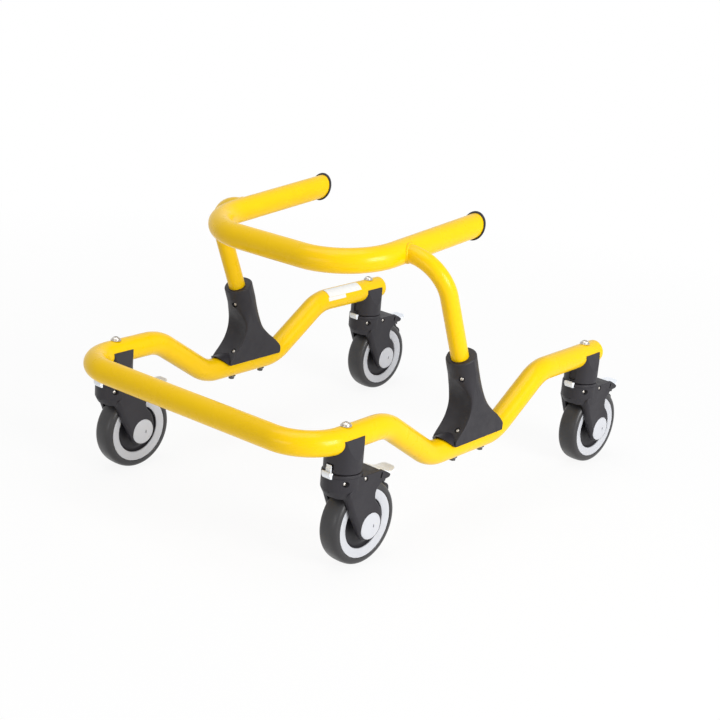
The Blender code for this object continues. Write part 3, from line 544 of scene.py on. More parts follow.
def button_screw(name, radius, height, washer=0, washer_height=0):
    """A domed screw head with a hexagon socket, its underside at height 0."""
    rings, rim = 6, 0.25
    dome = [(0, height)]
    for step in range(1, rings + 1):
        angle = pi / 2 * step / rings
        dome.append((radius * sin(angle), height * (rim + (1 - rim) * cos(angle))))
    made = lathe(name, dome + [(radius, 0), (0, 0)], 32)
    socket = slab("socket", arc((0, 0), radius * 0.5, 0, 300, 5), height * 0.5, view=Matrix.Identity(4))
    cut(made, shift(socket, 0, 0, height))
    if washer:
        shift(made, 0, 0, washer_height)
        edge = washer_height * 0.3
        merge(made, lathe("washer", [(0, washer_height), (washer - edge, washer_height),
                                     (washer, washer_height - edge), (washer, 0), (0, 0)], 40))
    return made


# Base tube, handlebar and posts

def make_base_tube():
    def leg(side):
        places = (
            (LEG_END_Y, LEG_Z), (DIP_FRONT_Y - SLOPE_RUN, LEG_Z), (DIP_FRONT_Y, DIP_Z),
            (DIP_REAR_Y, DIP_Z), (DIP_REAR_Y + SLOPE_RUN, LEG_Z), (REAR_BAR_Y, LEG_Z),
        )
        return [leg_point(side, y, z) for y, z in places]
    corners = leg(1) + leg(-1)[::-1]
    radii = [SIDE_BEND_RADIUS] * 4 + [CORNER_RADIUS] * 2 + [SIDE_BEND_RADIUS] * 4
    made = dress(sweep("tube", bent_path(corners, radii), TUBE_RADIUS), PAINT)
    settle(made, "base_tube_skin", "frame", "base_tube")


def handle_point(side, along):
    return Vector((side * HANDLE_X, HANDLE_BAR_Y, HANDLE_BAR_Z)) + ARM_OUTWARD * along


def slanted(slant):
    """A shear along the arms that leans their square ends."""
    upward = ARM_OUTWARD.cross(Vector((1, 0, 0)))
    shear = Matrix.Identity(4)
    for row in range(3):
        for column in range(3):
            shear[row][column] += tan(slant) * ARM_OUTWARD[row] * upward[column]
    return shear


def post_point(side, height):
    return Vector((side * POST_X, POST_FOOT_Y + (height - DIP_Z) * tan(POST_LEAN), height))


def post_meeting(side):
    """Where a post's axis meets the arm's."""
    top = post_point(side, POST_TOP_Z)
    return Vector((side * HANDLE_X, top.y, top.z))


def make_weld(side):
    """The rippled weld bead where a post meets an arm."""
    bead, ripple, wander = 0.0021, 0.00022, 0.00015
    steps, sides, ripples = 144, 10, 36
    centre = post_meeting(side)
    upward = Vector((0, sin(HANDLE_PITCH), cos(HANDLE_PITCH)))
    sideways = Vector((side, 0, 0))
    rows = []
    for step in range(steps):
        turn = 2 * pi * step / steps
        along, rise = cos(turn), sin(turn)
        reach = sqrt(TUBE_RADIUS ** 2 - (POST_RADIUS * rise) ** 2)
        middle = centre + Vector((side * reach, 0, 0)) + POST_RADIUS * (along * ARM_OUTWARD + rise * upward)
        outward = (along * ARM_OUTWARD + rise * upward).normalized()
        radius = bead + ripple * cos(turn * ripples) + wander * sin(turn * 5 + 1)
        rows.append([middle + radius * (cos(a) * outward + sin(a) * sideways)
                     for a in [2 * pi * k / sides for k in range(sides)]])
    return skin("weld", rows, caps=False, loop=True)


def make_upper_frame():
    corners = [handle_point(1, HANDLE_LENGTH), handle_point(1, 0)]
    corners += [handle_point(-1, 0), handle_point(-1, HANDLE_LENGTH)]
    made = sweep("tube", bent_path(corners, [HANDLE_CORNER_RADIUS] * 2), TUBE_RADIUS)
    shear = slanted(HANDLE_END_SLANT)
    end_depth = 0.001
    for side in (1, -1):
        end = handle_point(side, HANDLE_LENGTH)
        for vertex in made.data.vertices:
            offset = vertex.co - end
            if offset.dot(ARM_OUTWARD) > -end_depth and abs(offset.x) < HANDLE_X:
                vertex.co = end + shear @ offset
    for side in (1, -1):
        corners = [post_point(side, POST_END_Z), post_point(side, POST_TOP_Z), post_meeting(side)]
        path = bent_path(corners, [POST_BEND_RADIUS])
        merge(made, sweep("post", path, POST_RADIUS, 40), make_weld(side))
    settle(dress(made, PAINT), "upper_frame_skin", "frame", "upper_frame")


def make_plugs():
    """The flanged caps of the handlebar and the flat ones of the base tube, each with a shank inside."""
    flange, rim, shank = 0.003, 0.02185, 0.0165
    flat_shank, depth = 0.0168, 0.012
    flanged = [(0, flange + 0.0003), (rim - 0.006, flange + 0.0002), (rim - 0.002, flange - 0.0001),
               (rim - 0.0006, flange - 0.0008), (rim, 0.0017), (rim - 0.0003, 0.0006), (rim - 0.001, 0),
               (shank, 0), (shank, -depth), (0, -depth)]
    flat = [(0, 0.0018), (0.008, 0.0018), (0.015, 0.0015), (0.018, 0.0009), (0.0188, 0.0001),
            (flat_shank, 0), (flat_shank, -depth), (0, -depth)]
    for side, label in ((1, "left"), (-1, "right")):
        made = lathe("plug", flanged, 56)
        end = Matrix.Translation(handle_point(side, HANDLE_LENGTH) + GAP * ARM_OUTWARD)
        made.data.transform(end @ slanted(HANDLE_END_SLANT) @ turned_to(ARM_OUTWARD))
        settle(dress(made, BLACK), "handlebar_cap_" + label, "frame", "handlebar_plug_" + label)
        made = lathe("plug", flat, 48)
        end = Matrix.Translation((side * LEG_X, LEG_END_Y - GAP, LEG_Z))
        made.data.transform(end @ turned_to(Vector((0, -1, 0))))
        settle(dress(made, BLACK), "base_tube_cap_" + label, "frame", "base_end_plug_" + label)


def make_label():
    """A blank two-part sticker on the left leg."""
    outer, inner = TUBE_RADIUS + 0.00022, TUBE_RADIUS - 0.0002
    lengthwise, around = 12, 16
    # Each part's start and end along Y, and its lower and upper angle round the tube
    areas = ((-0.272, -0.181, -1, 60), (-0.2255, -0.1785, 61, 81))
    parts = []
    for start, end, low, high in areas:
        rows = []
        for step in range(lengthwise + 1):
            y = start + (end - start) * step / lengthwise
            ring = []
            for radius, turns in ((outer, range(around + 1)), (inner, range(around, -1, -1))):
                for turn in turns:
                    angle = radians(low + (high - low) * turn / around)
                    x, z = LEG_X - radius * sin(angle), LEG_Z + radius * cos(angle)
                    ring.append(Vector((x, y, z)))
            rows.append(ring)
        parts.append(skin("label", rows))
    settle(dress(merge(*parts), PAPER), "blank_label", "frame")


# Post brackets

COLLAR_RADIUS = 0.0248
COLLAR_TOP_Z = DIP_Z + 0.1435 - GAP
COLLAR_LIP = 0.0024
COLLAR_CREASE = 0.0007
BRACKET_HALF = 0.0223
SKIRT_EDGE = 0.006
LEAST_RIDGE = 0.0012
SADDLE_REAR_Y = 0.075
SADDLE_RADIUS = TUBE_RADIUS + 0.0042
FOOT_Z = DIP_Z + 0.0085
# The collar's rings: distance down, reach to the rear and to the front of the post's axis
COLLAR_RINGS = ((0, 0.0206, 0.0263), (0.014, 0.0212, 0.0257), (0.028, 0.0214, 0.025))
# Rings below the collar: rear and front (y, z) from the saddle's rear end and the skirt's edge,
# then the share of the flare, the ridge's radius and the gutter's depth
BRACKET_RINGS = (
    ((-0.0308, 0.073), (-0.07, 0.078), 0.45, 0.0055, 0.001),
    ((-0.0325, 0.054), (-0.0795, 0.056), 0.8, 0.0022, 0.0045),
    ((-0.0263, 0.036), (-0.095, 0.04), 0.95, 0.0014, 0.0062),
    ((-0.0163, 0.023), (-0.1095, 0.029), 1, 0.0013, 0.0065),
    ((-0.005, 0.012), (-0.122, 0.018), 1, 0.0013, 0.0062),
    ((0, 0.006), (-0.128, 0.01), 1, 0.0013, 0.006),
    ((0, 0), (-0.1275, 0), 1, 0.0013, 0.006),
)
# Screw places on each bracket's rear: towards -X from the leg's axis, y, z, turn to that side, upward tilt
SCREW_PLACES = ((0.0077, 0.0571, 0.2356, 22, -8), (0.0098, 0.0571, 0.1532, -12, 42))
RECESS_DEPTH = 0.0018
RECESS_RADIUS = 0.0049
DIP_NUT_PLACES = (0.048, -0.024)


def between(start, end, count):
    """Evenly spaced points from start to end."""
    return [tuple(a + (b - a) * step / count for a, b in zip(start, end)) for step in range(count + 1)]


def bracket_section(reach, half, edge, ridge, gutter, crease):
    """A section as (x, along) points from its middle: rear towards +along, with a gutter there."""
    def turn(x, along, radius, start):
        return arc((x, along), radius, start, start + 90, 6)[1:-1]
    ridge_x, edge_x = half - ridge, half - edge
    rear, front = reach - ridge, edge - reach
    points = between((ridge_x, reach), (-ridge_x, reach), 16)
    points += turn(-ridge_x, rear, ridge, 90)
    points += between((-half, rear), (-half, front), 14)
    points += turn(-edge_x, front, edge, 180)
    points += between((-edge_x, -reach), (edge_x, -reach), 12)
    points += turn(edge_x, front, edge, 270)
    points += between((half, front), (half, rear), 14)
    points += turn(ridge_x, rear, ridge, 0)
    bank = half - 0.8 * min(ridge, 0.006)
    crease_place, crease_width = 0.2 * reach, 0.0012
    shaped = []
    for x, along in points:
        share = min(1, abs(x) / bank)
        dent = gutter * cos(share * pi / 2) ** 1.2 if along > 0 else 0
        narrow = crease * clamp((along - crease_place) / crease_width)
        shaped.append((x * (1 - narrow / half), along - dent))
    return shaped


def bracket_line():
    """Rear and front (y, z) with the share, ridge and gutter of each section, from the top down."""
    top = post_point(1, COLLAR_TOP_Z)
    keys = []
    for down, back, ahead in COLLAR_RINGS:
        middle = top - POST_UPWARD * down
        rear, front = middle + POST_REARWARD * back, middle - POST_REARWARD * ahead
        keys.append((*rear.yz, *front.yz, 0, (back + ahead) / 2, 0))
    for rear, front, *shape in BRACKET_RINGS:
        keys.append((SADDLE_REAR_Y + rear[0], FOOT_Z + rear[1], SADDLE_REAR_Y + front[0], FOOT_Z + front[1],
                     *shape))
    last = len(COLLAR_RINGS)
    return smooth_line(keys[:last]) + smooth_line(keys[last - 1:])[1:]


def bracket_rows(side):
    rows = []
    for rear_y, rear_z, front_y, front_z, share, ridge, gutter in bracket_line():
        share = clamp(share)
        rear, front = Vector((0, rear_y, rear_z)), Vector((0, front_y, front_z))
        along = (rear - front).normalized()
        reach = (rear - front).length / 2
        middle = (rear + front) / 2
        middle.x = side * (POST_X + (LEG_X - POST_X) * share)
        half = COLLAR_RADIUS + (BRACKET_HALF - COLLAR_RADIUS) * share
        widest = min(half, reach) - 0.0001
        edge = min(COLLAR_RADIUS + (SKIRT_EDGE - COLLAR_RADIUS) * share, widest)
        ridge = min(widest, max(LEAST_RIDGE, ridge))
        crease = COLLAR_CREASE * max(0, 1 - 1.5 * share)
        section = bracket_section(reach, half, edge, ridge, max(0, gutter), crease)
        rows.append([middle + Vector((x, 0, 0)) + along * v for x, v in section])
    return rows


def lipped(rows, centre):
    """The rows with a soft lip round the collar's mouth; the second row gives way to it."""
    steps = 5
    lip = []
    for step in range(steps):
        angle = pi / 2 * step / steps
        lip.append([point + (centre - point).normalized() * COLLAR_LIP * (1 - sin(angle))
                    - POST_UPWARD * COLLAR_LIP * (1 - cos(angle)) for point in rows[0]])
    lowered = [point - POST_UPWARD * COLLAR_LIP for point in rows[0]]
    return lip + [lowered] + rows[2:]


def make_saddle(side):
    """The sleeve round the rear of a dip, cut level with the foot and at a slant above it."""
    path = [leg_point(side, SADDLE_REAR_Y - 0.02, DIP_Z), leg_point(side, DIP_REAR_Y, DIP_Z)]
    saddle = sweep("saddle", path, SADDLE_RADIUS, 64)
    slant = 0.017 / (DIP_Z + SADDLE_RADIUS - FOOT_Z)
    top_z = DIP_Z + 2 * SADDLE_RADIUS
    bottom_z = DIP_Z - 2 * SADDLE_RADIUS
    far_y = SADDLE_REAR_Y + 4 * SADDLE_RADIUS
    trim = [
        (-SADDLE_REAR_Y, FOOT_Z), (-SADDLE_REAR_Y - slant * (top_z - FOOT_Z), top_z),
        (-far_y, top_z), (-far_y, bottom_z), (0, bottom_z), (0, FOOT_Z),
    ]
    return cut(saddle, slab("trim", trim, LEG_X + 2 * SADDLE_RADIUS))


def recess_place(side, out, y, z, turn, tilt, rise=0):
    """From a screw's own space to a place on the bracket's rear."""
    turn, tilt = radians(turn), radians(tilt)
    outward = Vector((-sin(turn) * cos(tilt), cos(turn) * cos(tilt), sin(tilt)))
    place = Vector((side * LEG_X - out, y, z)) + outward * rise
    return Matrix.Translation(place) @ turned_to(outward)


def make_dip_nut(side, y):
    """A flanged nut under a dip with the end of its bolt."""
    nut = slab("nut", arc((0, 0), 0.0052, 0, 300, 5), 0.0022, 0.0004, Matrix.Identity(4), 2)
    shift(nut, 0, 0, -0.0038)
    flange = [(0, 0.001), (0.0066, 0.0006), (0.007, -0.0006), (0.0056, -0.0016), (0, -0.0018)]
    tip = [(0, -0.0055), (0.0026, -0.0055), (0.003, -0.0065), (0, -0.0066)]
    merge(nut, lathe("flange", flange, 32), lathe("tip", tip, 20))
    return shift(nut, side * LEG_X, y, DIP_Z - TUBE_RADIUS - 0.0006)


def make_bracket(side, label):
    made = skin("bracket", lipped(bracket_rows(side), post_point(side, COLLAR_TOP_Z)))
    join(made, make_saddle(side))
    seat = [leg_point(side, -0.12, DIP_Z), leg_point(side, 0.16, DIP_Z)]
    cut(made, sweep("seat", seat, TUBE_RADIUS + GAP, 64))
    socket = [post_point(side, POST_END_Z - 0.005), post_point(side, 0.4)]
    cut(made, sweep("socket", socket, POST_RADIUS + 2 * GAP, 48))
    for place in SCREW_PLACES:
        recess = lathe("recess", [(0, 0.01), (RECESS_RADIUS, 0.01), (RECESS_RADIUS, -RECESS_DEPTH),
                (0, -RECESS_DEPTH)], 32)
        recess.data.transform(recess_place(side, *place))
        cut(made, recess)
    soften(made, 0.0005, radians(45))
    settle(dress(made, BLACK), "bracket_shell_" + label, "frame", "post_bracket_" + label)
    for index, place in enumerate(SCREW_PLACES):
        screw = button_screw("screw", 0.0033, 0.0026)
        screw.data.transform(recess_place(side, *place, rise=-RECESS_DEPTH - 0.0002))
        settle(dress(screw, STEEL), f"bracket_screw_{index + 1}_{label}", "frame")
    for index, y in enumerate(DIP_NUT_PLACES):
        settle(dress(make_dip_nut(side, y), DARK_STEEL), f"dip_nut_{index + 1}_{label}", "frame")


# Casters

WHEEL_ROOM_RADIUS = 0.0685
WHEEL_ROOM_HALF = 0.0182
SHOE_ROOM_HALF = 0.0243
HOOD_UNDER_Z = TYRE_TOP + 0.0175
BEYOND = 0.04


def fork_plate():
    """The fork's arms as one plate: thin rims at the hood, full ones below, softer towards the rear."""
    front = smooth_line([(-0.006, 0.133), (-0.0125, 0.127), (-0.0131, 0.1204), (-0.0083, 0.1082),
            (-0.0009, 0.0911)], 4)
    lobe = arc(AXLE, 0.023, 209, 360, 20)
    rear = smooth_line([(TRAIL + 0.0225, 0.0698), (TRAIL + 0.0209, 0.082), (TRAIL + 0.0157, 0.0936),
            (TRAIL + 0.007, 0.104), (TRAIL + 0.0051, 0.1136), (TRAIL + 0.0075, 0.1228),
            (TRAIL + 0.0127, 0.1273), (TRAIL + 0.0127, 0.134)], 4)
    outline = front + lobe + rear
    thin, full, softer = 0.0003, 0.0062, 0.0032
    fade_top, fade_depth = 0.131, 0.013
    edges = []
    for index, (_, height) in enumerate(outline):
        along = clamp((index - len(front)) / len(lobe))
        fade = clamp((fade_top - height) / fade_depth)
        edges.append(thin + (full - softer * along) * fade)
    return slab("fork", outline, FORK_HALF, edges, rings=5)


def fork_head():
    """The round head under the housing, grooved near its top and drawn out towards the rear."""
    groove = HEAD_RADIUS - 0.0004
    profile = [(0, SEAM_Z - GAP), (HEAD_RADIUS - 0.0016, SEAM_Z - GAP), (groove, 0.1545),
            (HEAD_RADIUS, 0.1536), (HEAD_RADIUS, 0.1502), (groove, 0.1498), (HEAD_RADIUS, 0.1494),
            (HEAD_RADIUS, 0.1296), (groove, 0.1286), (0.0282, 0.1274), (0.0272, 0.125), (0.0255, 0.1215),
            (0.023, 0.1175), (0, 0.115)]
    made = lathe("head", profile, 96)
    for vertex in made.data.vertices:
        if vertex.co.y > 0:
            vertex.co.y *= HEAD_STRETCH
    return made


def fork_hood():
    """The flat hood over the wheel with its raised rear end."""
    outline = fillet([(-0.004, 0.149, 0.002), (0.0545, 0.149, 0.003), (TRAIL + 0.027, 0.1427, 0.006),
            (TRAIL + 0.0345, 0.1377, 0.003), (TRAIL + 0.0315, 0.1338, 0.003),
            (TRAIL + 0.0164, 0.1318, 0.004), (TRAIL + 0.01, 0.124, 0.002), (-0.004, 0.124, 0.002)])
    return slab("hood", outline, FORK_HALF - 0.00004, 0.0014, rings=3)


def make_fork():
    made = join(fork_plate(), fork_hood(), fork_head())
    half, rear_end = WHEEL_ROOM_HALF, TRAIL + 0.05
    arch = fillet([(-half, 0.085, 0), (half, 0.085, 0), (half, 0.1193, 0.012), (-half, 0.1193, 0.012)])
    cut(
        made,
        peg("wheel_room", WHEEL_ROOM_RADIUS, -half, half, AXLE, 128),
        shift(slab("arch", arch, 0.025, 0, FRONT_VIEW), 0, 0.0225, 0),
        box_room("pedal_room", (PIN[0] - 0.0057, 0.062), PEDAL_HALF + 0.0005, (TYRE_TOP, HOOD_UNDER_Z)),
        box_room("shoe_room", (0.047, rear_end), SHOE_ROOM_HALF, (TYRE_TOP - 0.013, HOOD_UNDER_Z)),
        box_room("open_end", (0.0515, rear_end), SHOE_ROOM_HALF, (HOOD_UNDER_Z - 0.001, 0.16)),
        box_room("channel", (-0.0308, -0.0283), 0.0052, (SEAM_Z - 0.028, 0.17), 0.0004),
        peg("screw_room", 0.0043, 0.019, BEYOND, SIDE_SCREW),
    )
    slit = slab("slit", rectangle((-0.0014, 0.0014), (-0.0045, 0.0045), 0.0012, 4), BEYOND)
    slit.data.transform(Matrix.Translation((0, -SHOE_PIVOT[0], 0.1412)) @ Matrix.Rotation(0.25, 4, "X"))
    cut(made, slit)
    for side in (1, -1):
        cut(made, peg("cap_room", 0.0209, side * (FORK_HALF - 0.0021), side * BEYOND, AXLE, 64),
            peg("pin_room", 0.004, side * (FORK_HALF - 0.0018), side * BEYOND, PIN))
    soften(made, 0.00045, radians(50))
    return take(dress(made, BLACK))


def make_housing(corner):
    """The round housing under the tube, with flattened ears, a slot for the fin and a seat for the tube."""
    label, side, place_y = corner
    top, ear_half, ear_height = LEG_Z + 0.005, 0.0197, 0.029
    profile = [(0, top), (HOUSING_RADIUS, top), (HOUSING_RADIUS, SEAM_Z + 0.0014),
            (HOUSING_RADIUS - 0.0004, SEAM_Z + 0.0006), (HOUSING_RADIUS - 0.0014, SEAM_Z), (0, SEAM_Z)]
    made = lathe("housing", profile, 96)
    foot, beyond = top - ear_height, HOUSING_RADIUS + 0.01
    for hand in (1, -1):
        wedge = [(hand * ear_half, top), (hand * HOUSING_RADIUS, foot), (hand * beyond, foot),
                 (hand * beyond, top + 0.01), (hand * ear_half, top + 0.01)]
        cut(made, slab("flat", wedge, 2 * HOUSING_RADIUS, 0, FRONT_VIEW))
    slot_top = FIN_TOP + LOCK_TRAVEL + 0.0022 if label == LOCKED_CORNER else LEG_Z
    cut(made, box_room("slot", (-HOUSING_RADIUS - 0.005, -HOUSING_RADIUS + 0.003), 0.0063,
                       (SEAM_Z + 0.006, slot_top), 0.0016))
    place = Matrix.Translation((side * LEG_X, place_y, 0))
    made.data.transform(place)
    path = [leg_point(side, -0.4, LEG_Z), leg_point(side, 0, LEG_Z)]
    if place_y > 0:
        path = bent_path([leg_point(side, 0.1, LEG_Z), leg_point(side, REAR_BAR_Y, LEG_Z),
                          leg_point(0, REAR_BAR_Y, LEG_Z)], [CORNER_RADIUS])
    cut(made, sweep("seat", path, TUBE_RADIUS + GAP, 64))
    soften(made, 0.0007)
    made.data.transform(place.inverted())
    made.matrix_world = place
    settle(dress(made, BLACK, radians(16)), "housing_shell_" + label, "frame", "stem_housing_" + label)


def make_bolt(corner):
    """The stem's bolt: a domed head with its washer on the tube, and the shank inside."""
    label, side, place_y = corner
    shank, foot = 0.0048, -0.064
    made = button_screw("bolt", 0.0065, 0.0044, 0.0085, 0.0012)
    shift(made, 0, 0, TUBE_RADIUS + GAP)
    merge(made, lathe("stem", [(0, TUBE_RADIUS), (shank, TUBE_RADIUS), (shank, foot), (0, foot)], 24))
    made.matrix_world = Matrix.Translation((side * LEG_X, place_y, LEG_Z))
    settle(dress(made, STEEL), "stem_bolt_head_" + label, "frame", "stem_bolt_" + label)


def wheel_piece(name, profile, steps, look):
    """A ring about the axle from a profile of (radius, side) points."""
    made = lathe(name, profile, steps, True)
    made.data.transform(ACROSS)
    mesh = take(dress(made, look))
    mesh.transform(Matrix.Translation((0, -TRAIL, WHEEL_RADIUS)))
    return mesh


def make_tyre():
    half = smooth_line([
        (0.065, 0), (0.0649, 0.004), (0.0646, 0.0078), (0.064, 0.011), (0.0629, 0.0136),
        (0.0612, 0.0156), (0.0588, 0.0168), (0.0562, 0.0173), (0.0545, 0.0173), (0.0534, 0.0169),
        (0.053, 0.016), (0.0529, 0.01)], 3)
    return wheel_piece("tyre", half[::-1] + [(r, -x) for r, x in half[1:]], 128, RUBBER)


def make_ring():
    half = [(0.0527, 0.011), (0.0528, 0.0158), (0.0525, 0.0165), (0.0517, 0.0168), (0.048, 0.0162),
            (0.043, 0.0153), (0.0401, 0.0147), (0.0393, 0.0142), (0.039, 0.0133), (0.039, 0.01)]
    return wheel_piece("ring", mirrored(half), 128, WHITE)


def make_centre():
    half = [(0.0045, 0.0177), (0.0124, 0.0177), (0.013, 0.0171), (0.0133, 0.0085), (0.0145, 0.0066),
            (0.017, 0.006), (0.031, 0.006), (0.0345, 0.0068), (0.0368, 0.0088), (0.038, 0.0114),
            (0.0385, 0.0126), (0.0388, 0.013)]
    return wheel_piece("centre", mirrored(half), 96, BLACK)


def make_cap(hand):
    """A slightly domed hub cap with a small slot, on the fork's side that hand names."""
    crown, rim, seat = 0.0295, 0.0206, FORK_HALF - 0.0019
    profile = [(0, crown), (0.006, 0.02945), (0.012, 0.0293), (0.0165, 0.029), (0.019, 0.0286),
            (0.0202, 0.0281), (rim, 0.0274), (rim, seat), (0, seat)]
    made = lathe("cap", profile, 64)
    slot = slab("slot", rectangle((-0.0013, 0.0013), (-0.0028, 0.0028), 0.0011, 3), 0.0021,
                view=Matrix.Identity(4))
    cut(made, shift(slot, 0.0045, -0.0005, crown))
    made.data.transform(SIDE_VIEW @ Matrix.Diagonal((hand, 1, hand, 1)))
    return take(dress(shift(made, 0, -TRAIL, WHEEL_RADIUS), WHITE))


def make_lock():
    """The fin that slides in front of the fork, its top leaning back to a blunt edge."""
    back, front, low = -0.0287, -0.0304, FIN_TOP - 0.026
    outline = fillet([(back, low, 0.0003), (front, low, 0.0003), (front, FIN_TOP - 0.006, 0.002),
            (-0.0296, FIN_TOP - 0.0035, 0.002), (-0.0294, FIN_TOP, 0.0003), (back, FIN_TOP, 0.0003)], 4)
    return take(dress(slab("fin", outline, 0.0049, 0.0002, rings=2), GREY))


def make_pad():
    """The pale pad with its finger ledge in front of the lock."""
    outline = fillet([(-0.0285, 0.1485, 0.0008), (-0.0326, 0.1483, 0.0012), (-0.0352, 0.1528, 0.0014),
            (-0.0358, 0.156, 0.001), (-0.0353, 0.1587, 0.001), (-0.0334, 0.1588, 0.001),
            (-0.0322, 0.1575, 0.001), (-0.0285, 0.1573, 0.0008)], 4)
    made = slab("pad", outline, 0.0083, 0.0007, rings=2)
    cut(made, box_room("fin_way", (-0.0312, -0.027), 0.0052, (0.14, 0.17), 0.0002))
    return take(dress(made, GREY))


def make_pedal():
    """The brake pedal: a wavy tongue on its pin that narrows to a pad with a rounded end."""
    top = smooth_line([(0.052, 0.1475), (0.06, 0.1445), (0.066, 0.1423), (0.072, 0.14), (0.078, 0.1376),
            (0.084, 0.1356), (0.09, 0.1346), (0.096, 0.1348), (0.103, 0.137)], 4)
    underside = smooth_line([(0.1031, 0.1347), (0.1, 0.1326), (0.092, 0.1316), (0.084, 0.1325),
            (0.076, 0.1349), (0.0697, 0.138), (0.06, 0.1392), (0.05, 0.1398)], 4)
    made = slab("pedal", arc(PIN, 0.0037, 270, 90, 8) + top + underside, PEDAL_HALF, 0.0011, rings=3)
    root, end, waist_run = 0.06, 0.1032, 0.008
    fullness, roundness, blunt = 9, 0.33, 0.985
    for vertex in made.data.vertices:
        trail = -vertex.co.y
        waist = clamp((trail - root + waist_run) / waist_run)
        share = clamp((trail - root) / (end - root), blunt)
        vertex.co.x *= (1 - waist * (1 - PAD_HALF / PEDAL_HALF)) * (1 - share ** fullness) ** roundness
    return take(dress(made, GREY))


def make_shoe():
    """The brake shoe: a bridge over the tyre between two ears, and a claw that tapers behind it."""
    inner, outer = 0.0675, 0.071
    bridge = arc(AXLE, outer, 78.5, 65.5, 6) + arc(AXLE, inner, 65.5, 78.5, 6)
    made = slab("shoe", fillet([(*point, 0) for point in bridge]), 0.0238, 0.0008, rings=2)
    ears = arc(SHOE_PIVOT, 0.0045, 190, 20, 12) + arc(AXLE, outer - 0.0006, 67, 75, 3)
    ear = slab("ears", ears, 0.0236, 0)
    cut(ear, box_room("mouth", (0, 0.1), PEDAL_HALF + 0.0006, (0.08, 0.18)))
    upper = smooth_line([(0.0883, 0.114), (0.0965, 0.1088), (0.101, 0.103), (0.1041, 0.0955)], 3)
    lower = smooth_line([(0.1035, 0.0957), (0.0992, 0.101), (0.0945, 0.1053)], 3)
    outline = arc(AXLE, outer - 0.0002, 70, 50, 8) + upper
    outline += lower + arc(AXLE, inner + 0.0002, 44, 70, 8)
    claw = slab("claw", outline, 0.006, 0.0002, rings=2)
    tip_height, root_height, tip_share = 0.0955, 0.113, 0.12
    for vertex in claw.data.vertices:
        share = clamp((vertex.co.z - tip_height) / (root_height - tip_height))
        vertex.co.x *= tip_share + (1 - tip_share) * share ** 0.7
    join(made, ear, claw, peg("trunnion", 0.0017, -0.0262, 0.0262, SHOE_PIVOT, 20))
    return take(dress(made, BLACK))


def make_pin():
    """The pedal's pin with its domed ends."""
    end = [(0, 0.0286), (0.0014, 0.0284), (0.0025, 0.0278), (0.0027, 0.0272)]
    made = lathe("pin", mirrored(end), 24)
    made.data.transform(SIDE_VIEW @ Matrix.Translation((*PIN, 0)))
    return take(dress(made, STEEL))


def make_side_screw():
    screw = button_screw("screw", 0.0034, 0.0026)
    screw.data.transform(SIDE_VIEW @ Matrix.Translation((*SIDE_SCREW, 0.02)))
    return take(dress(screw, STEEL))


def make_casters():
    fork, pin, side_screw, pad = make_fork(), make_pin(), make_side_screw(), make_pad()
    caps = {1: make_cap(1), -1: make_cap(-1)}
    lock, pedal, shoe = make_lock(), make_pedal(), make_shoe()
    tyre, ring, centre = make_tyre(), make_ring(), make_centre()
    for corner in CORNERS:
        label, side, _ = corner
        make_housing(corner)
        make_bolt(corner)
        # Each piece's mesh, name and body, and the node that it stands for
        for mesh, name, body, *nodes in (
            (fork, "fork_shell", "caster", "fork"),
            (pin, "pedal_pin_ends", "caster", "pedal_pin"),
            (side_screw, "side_screw", "caster"),
            (pad, "lock_pad", "caster"),
            (caps[-side], "outer_cap", "caster", "hub_cap_outer"),
            (caps[side], "inner_cap", "caster", "hub_cap_inner"),
            (lock, "lock_fin", "lock", "direction_lock"),
            (pedal, "pedal_pad", "pedal", "brake_pedal"),
            (shoe, "shoe_claw", "shoe", "brake_shoe"),
            (tyre, "tyre_ring", "wheel", "tyre"),
            (ring, "white_ring", "wheel", "wheel_rim"),
            (centre, "wheel_web", "wheel", "wheel_centre"),
        ):
            raised = LOCK_TRAVEL if (label, body) == (LOCKED_CORNER, "lock") else 0
            place_caster(mesh, name, corner, body, *nodes, lift=raised)


make_base_tube()
make_upper_frame()
make_plugs()
make_label()
for bracket_side, bracket_label in ((1, "left"), (-1, "right")):
    make_bracket(bracket_side, bracket_label)
make_casters()

# The axles keep their own solids
for node_name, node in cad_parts.items():
    if node_name.startswith("axle"):
        for material_slot in node.material_slots:
            material_slot.material = STEEL.material


# Floor, light and camera

FLOOR_REACH = 40
FLOOR_COLOUR = (0.92, 0.92, 0.92, 1)
BACKGROUND_COLOUR = (1, 1, 1, 1)
ROOM_LIGHT = 0.28
# The floor's own share of white: from and to these distances off the object, from and to these shares
WHITE_FLOOR = (0.5, 1.9, 0.9, 1)
# Each lamp's name, place, aim, width and depth, and power
LAMPS = (
    ("key", (-3.4, 0.1, 1.3), (0, 0, 0.2), (1.6, 1.6), 105),
    ("top", (0.2, 0.4, 3), (0, 0, 0), (2.2, 2.2), 42),
    ("fill", (-0.2, 3.2, 0.6), (0, 0, 0.2), (1.6, 1), 12),
)
CAMERA_PLACE = (-1.5282, 1.9279, 0.9924)
CAMERA_ANGLES = (218.368, 18.384, 4.795)
# Focal length and optical centre in pixels of the photograph's frame
CAMERA_FOCAL = 1571.216
CAMERA_CENTRE = (359.082, 367.516)
FRAME_SIZE = 720


def background_rays(tree):
    """1 for the rays that see the background: from the camera, off gloss and through glass."""
    path = tree.nodes.new("ShaderNodeLightPath")
    seen = path.outputs["Is Camera Ray"]
    for kind in ("Is Glossy Ray", "Is Transmission Ray"):
        either = tree.nodes.new("ShaderNodeMath")
        either.operation = "MAXIMUM"
        tree.links.new(seen, either.inputs[0])
        tree.links.new(path.outputs[kind], either.inputs[1])
        seen = either.outputs[0]
    return seen


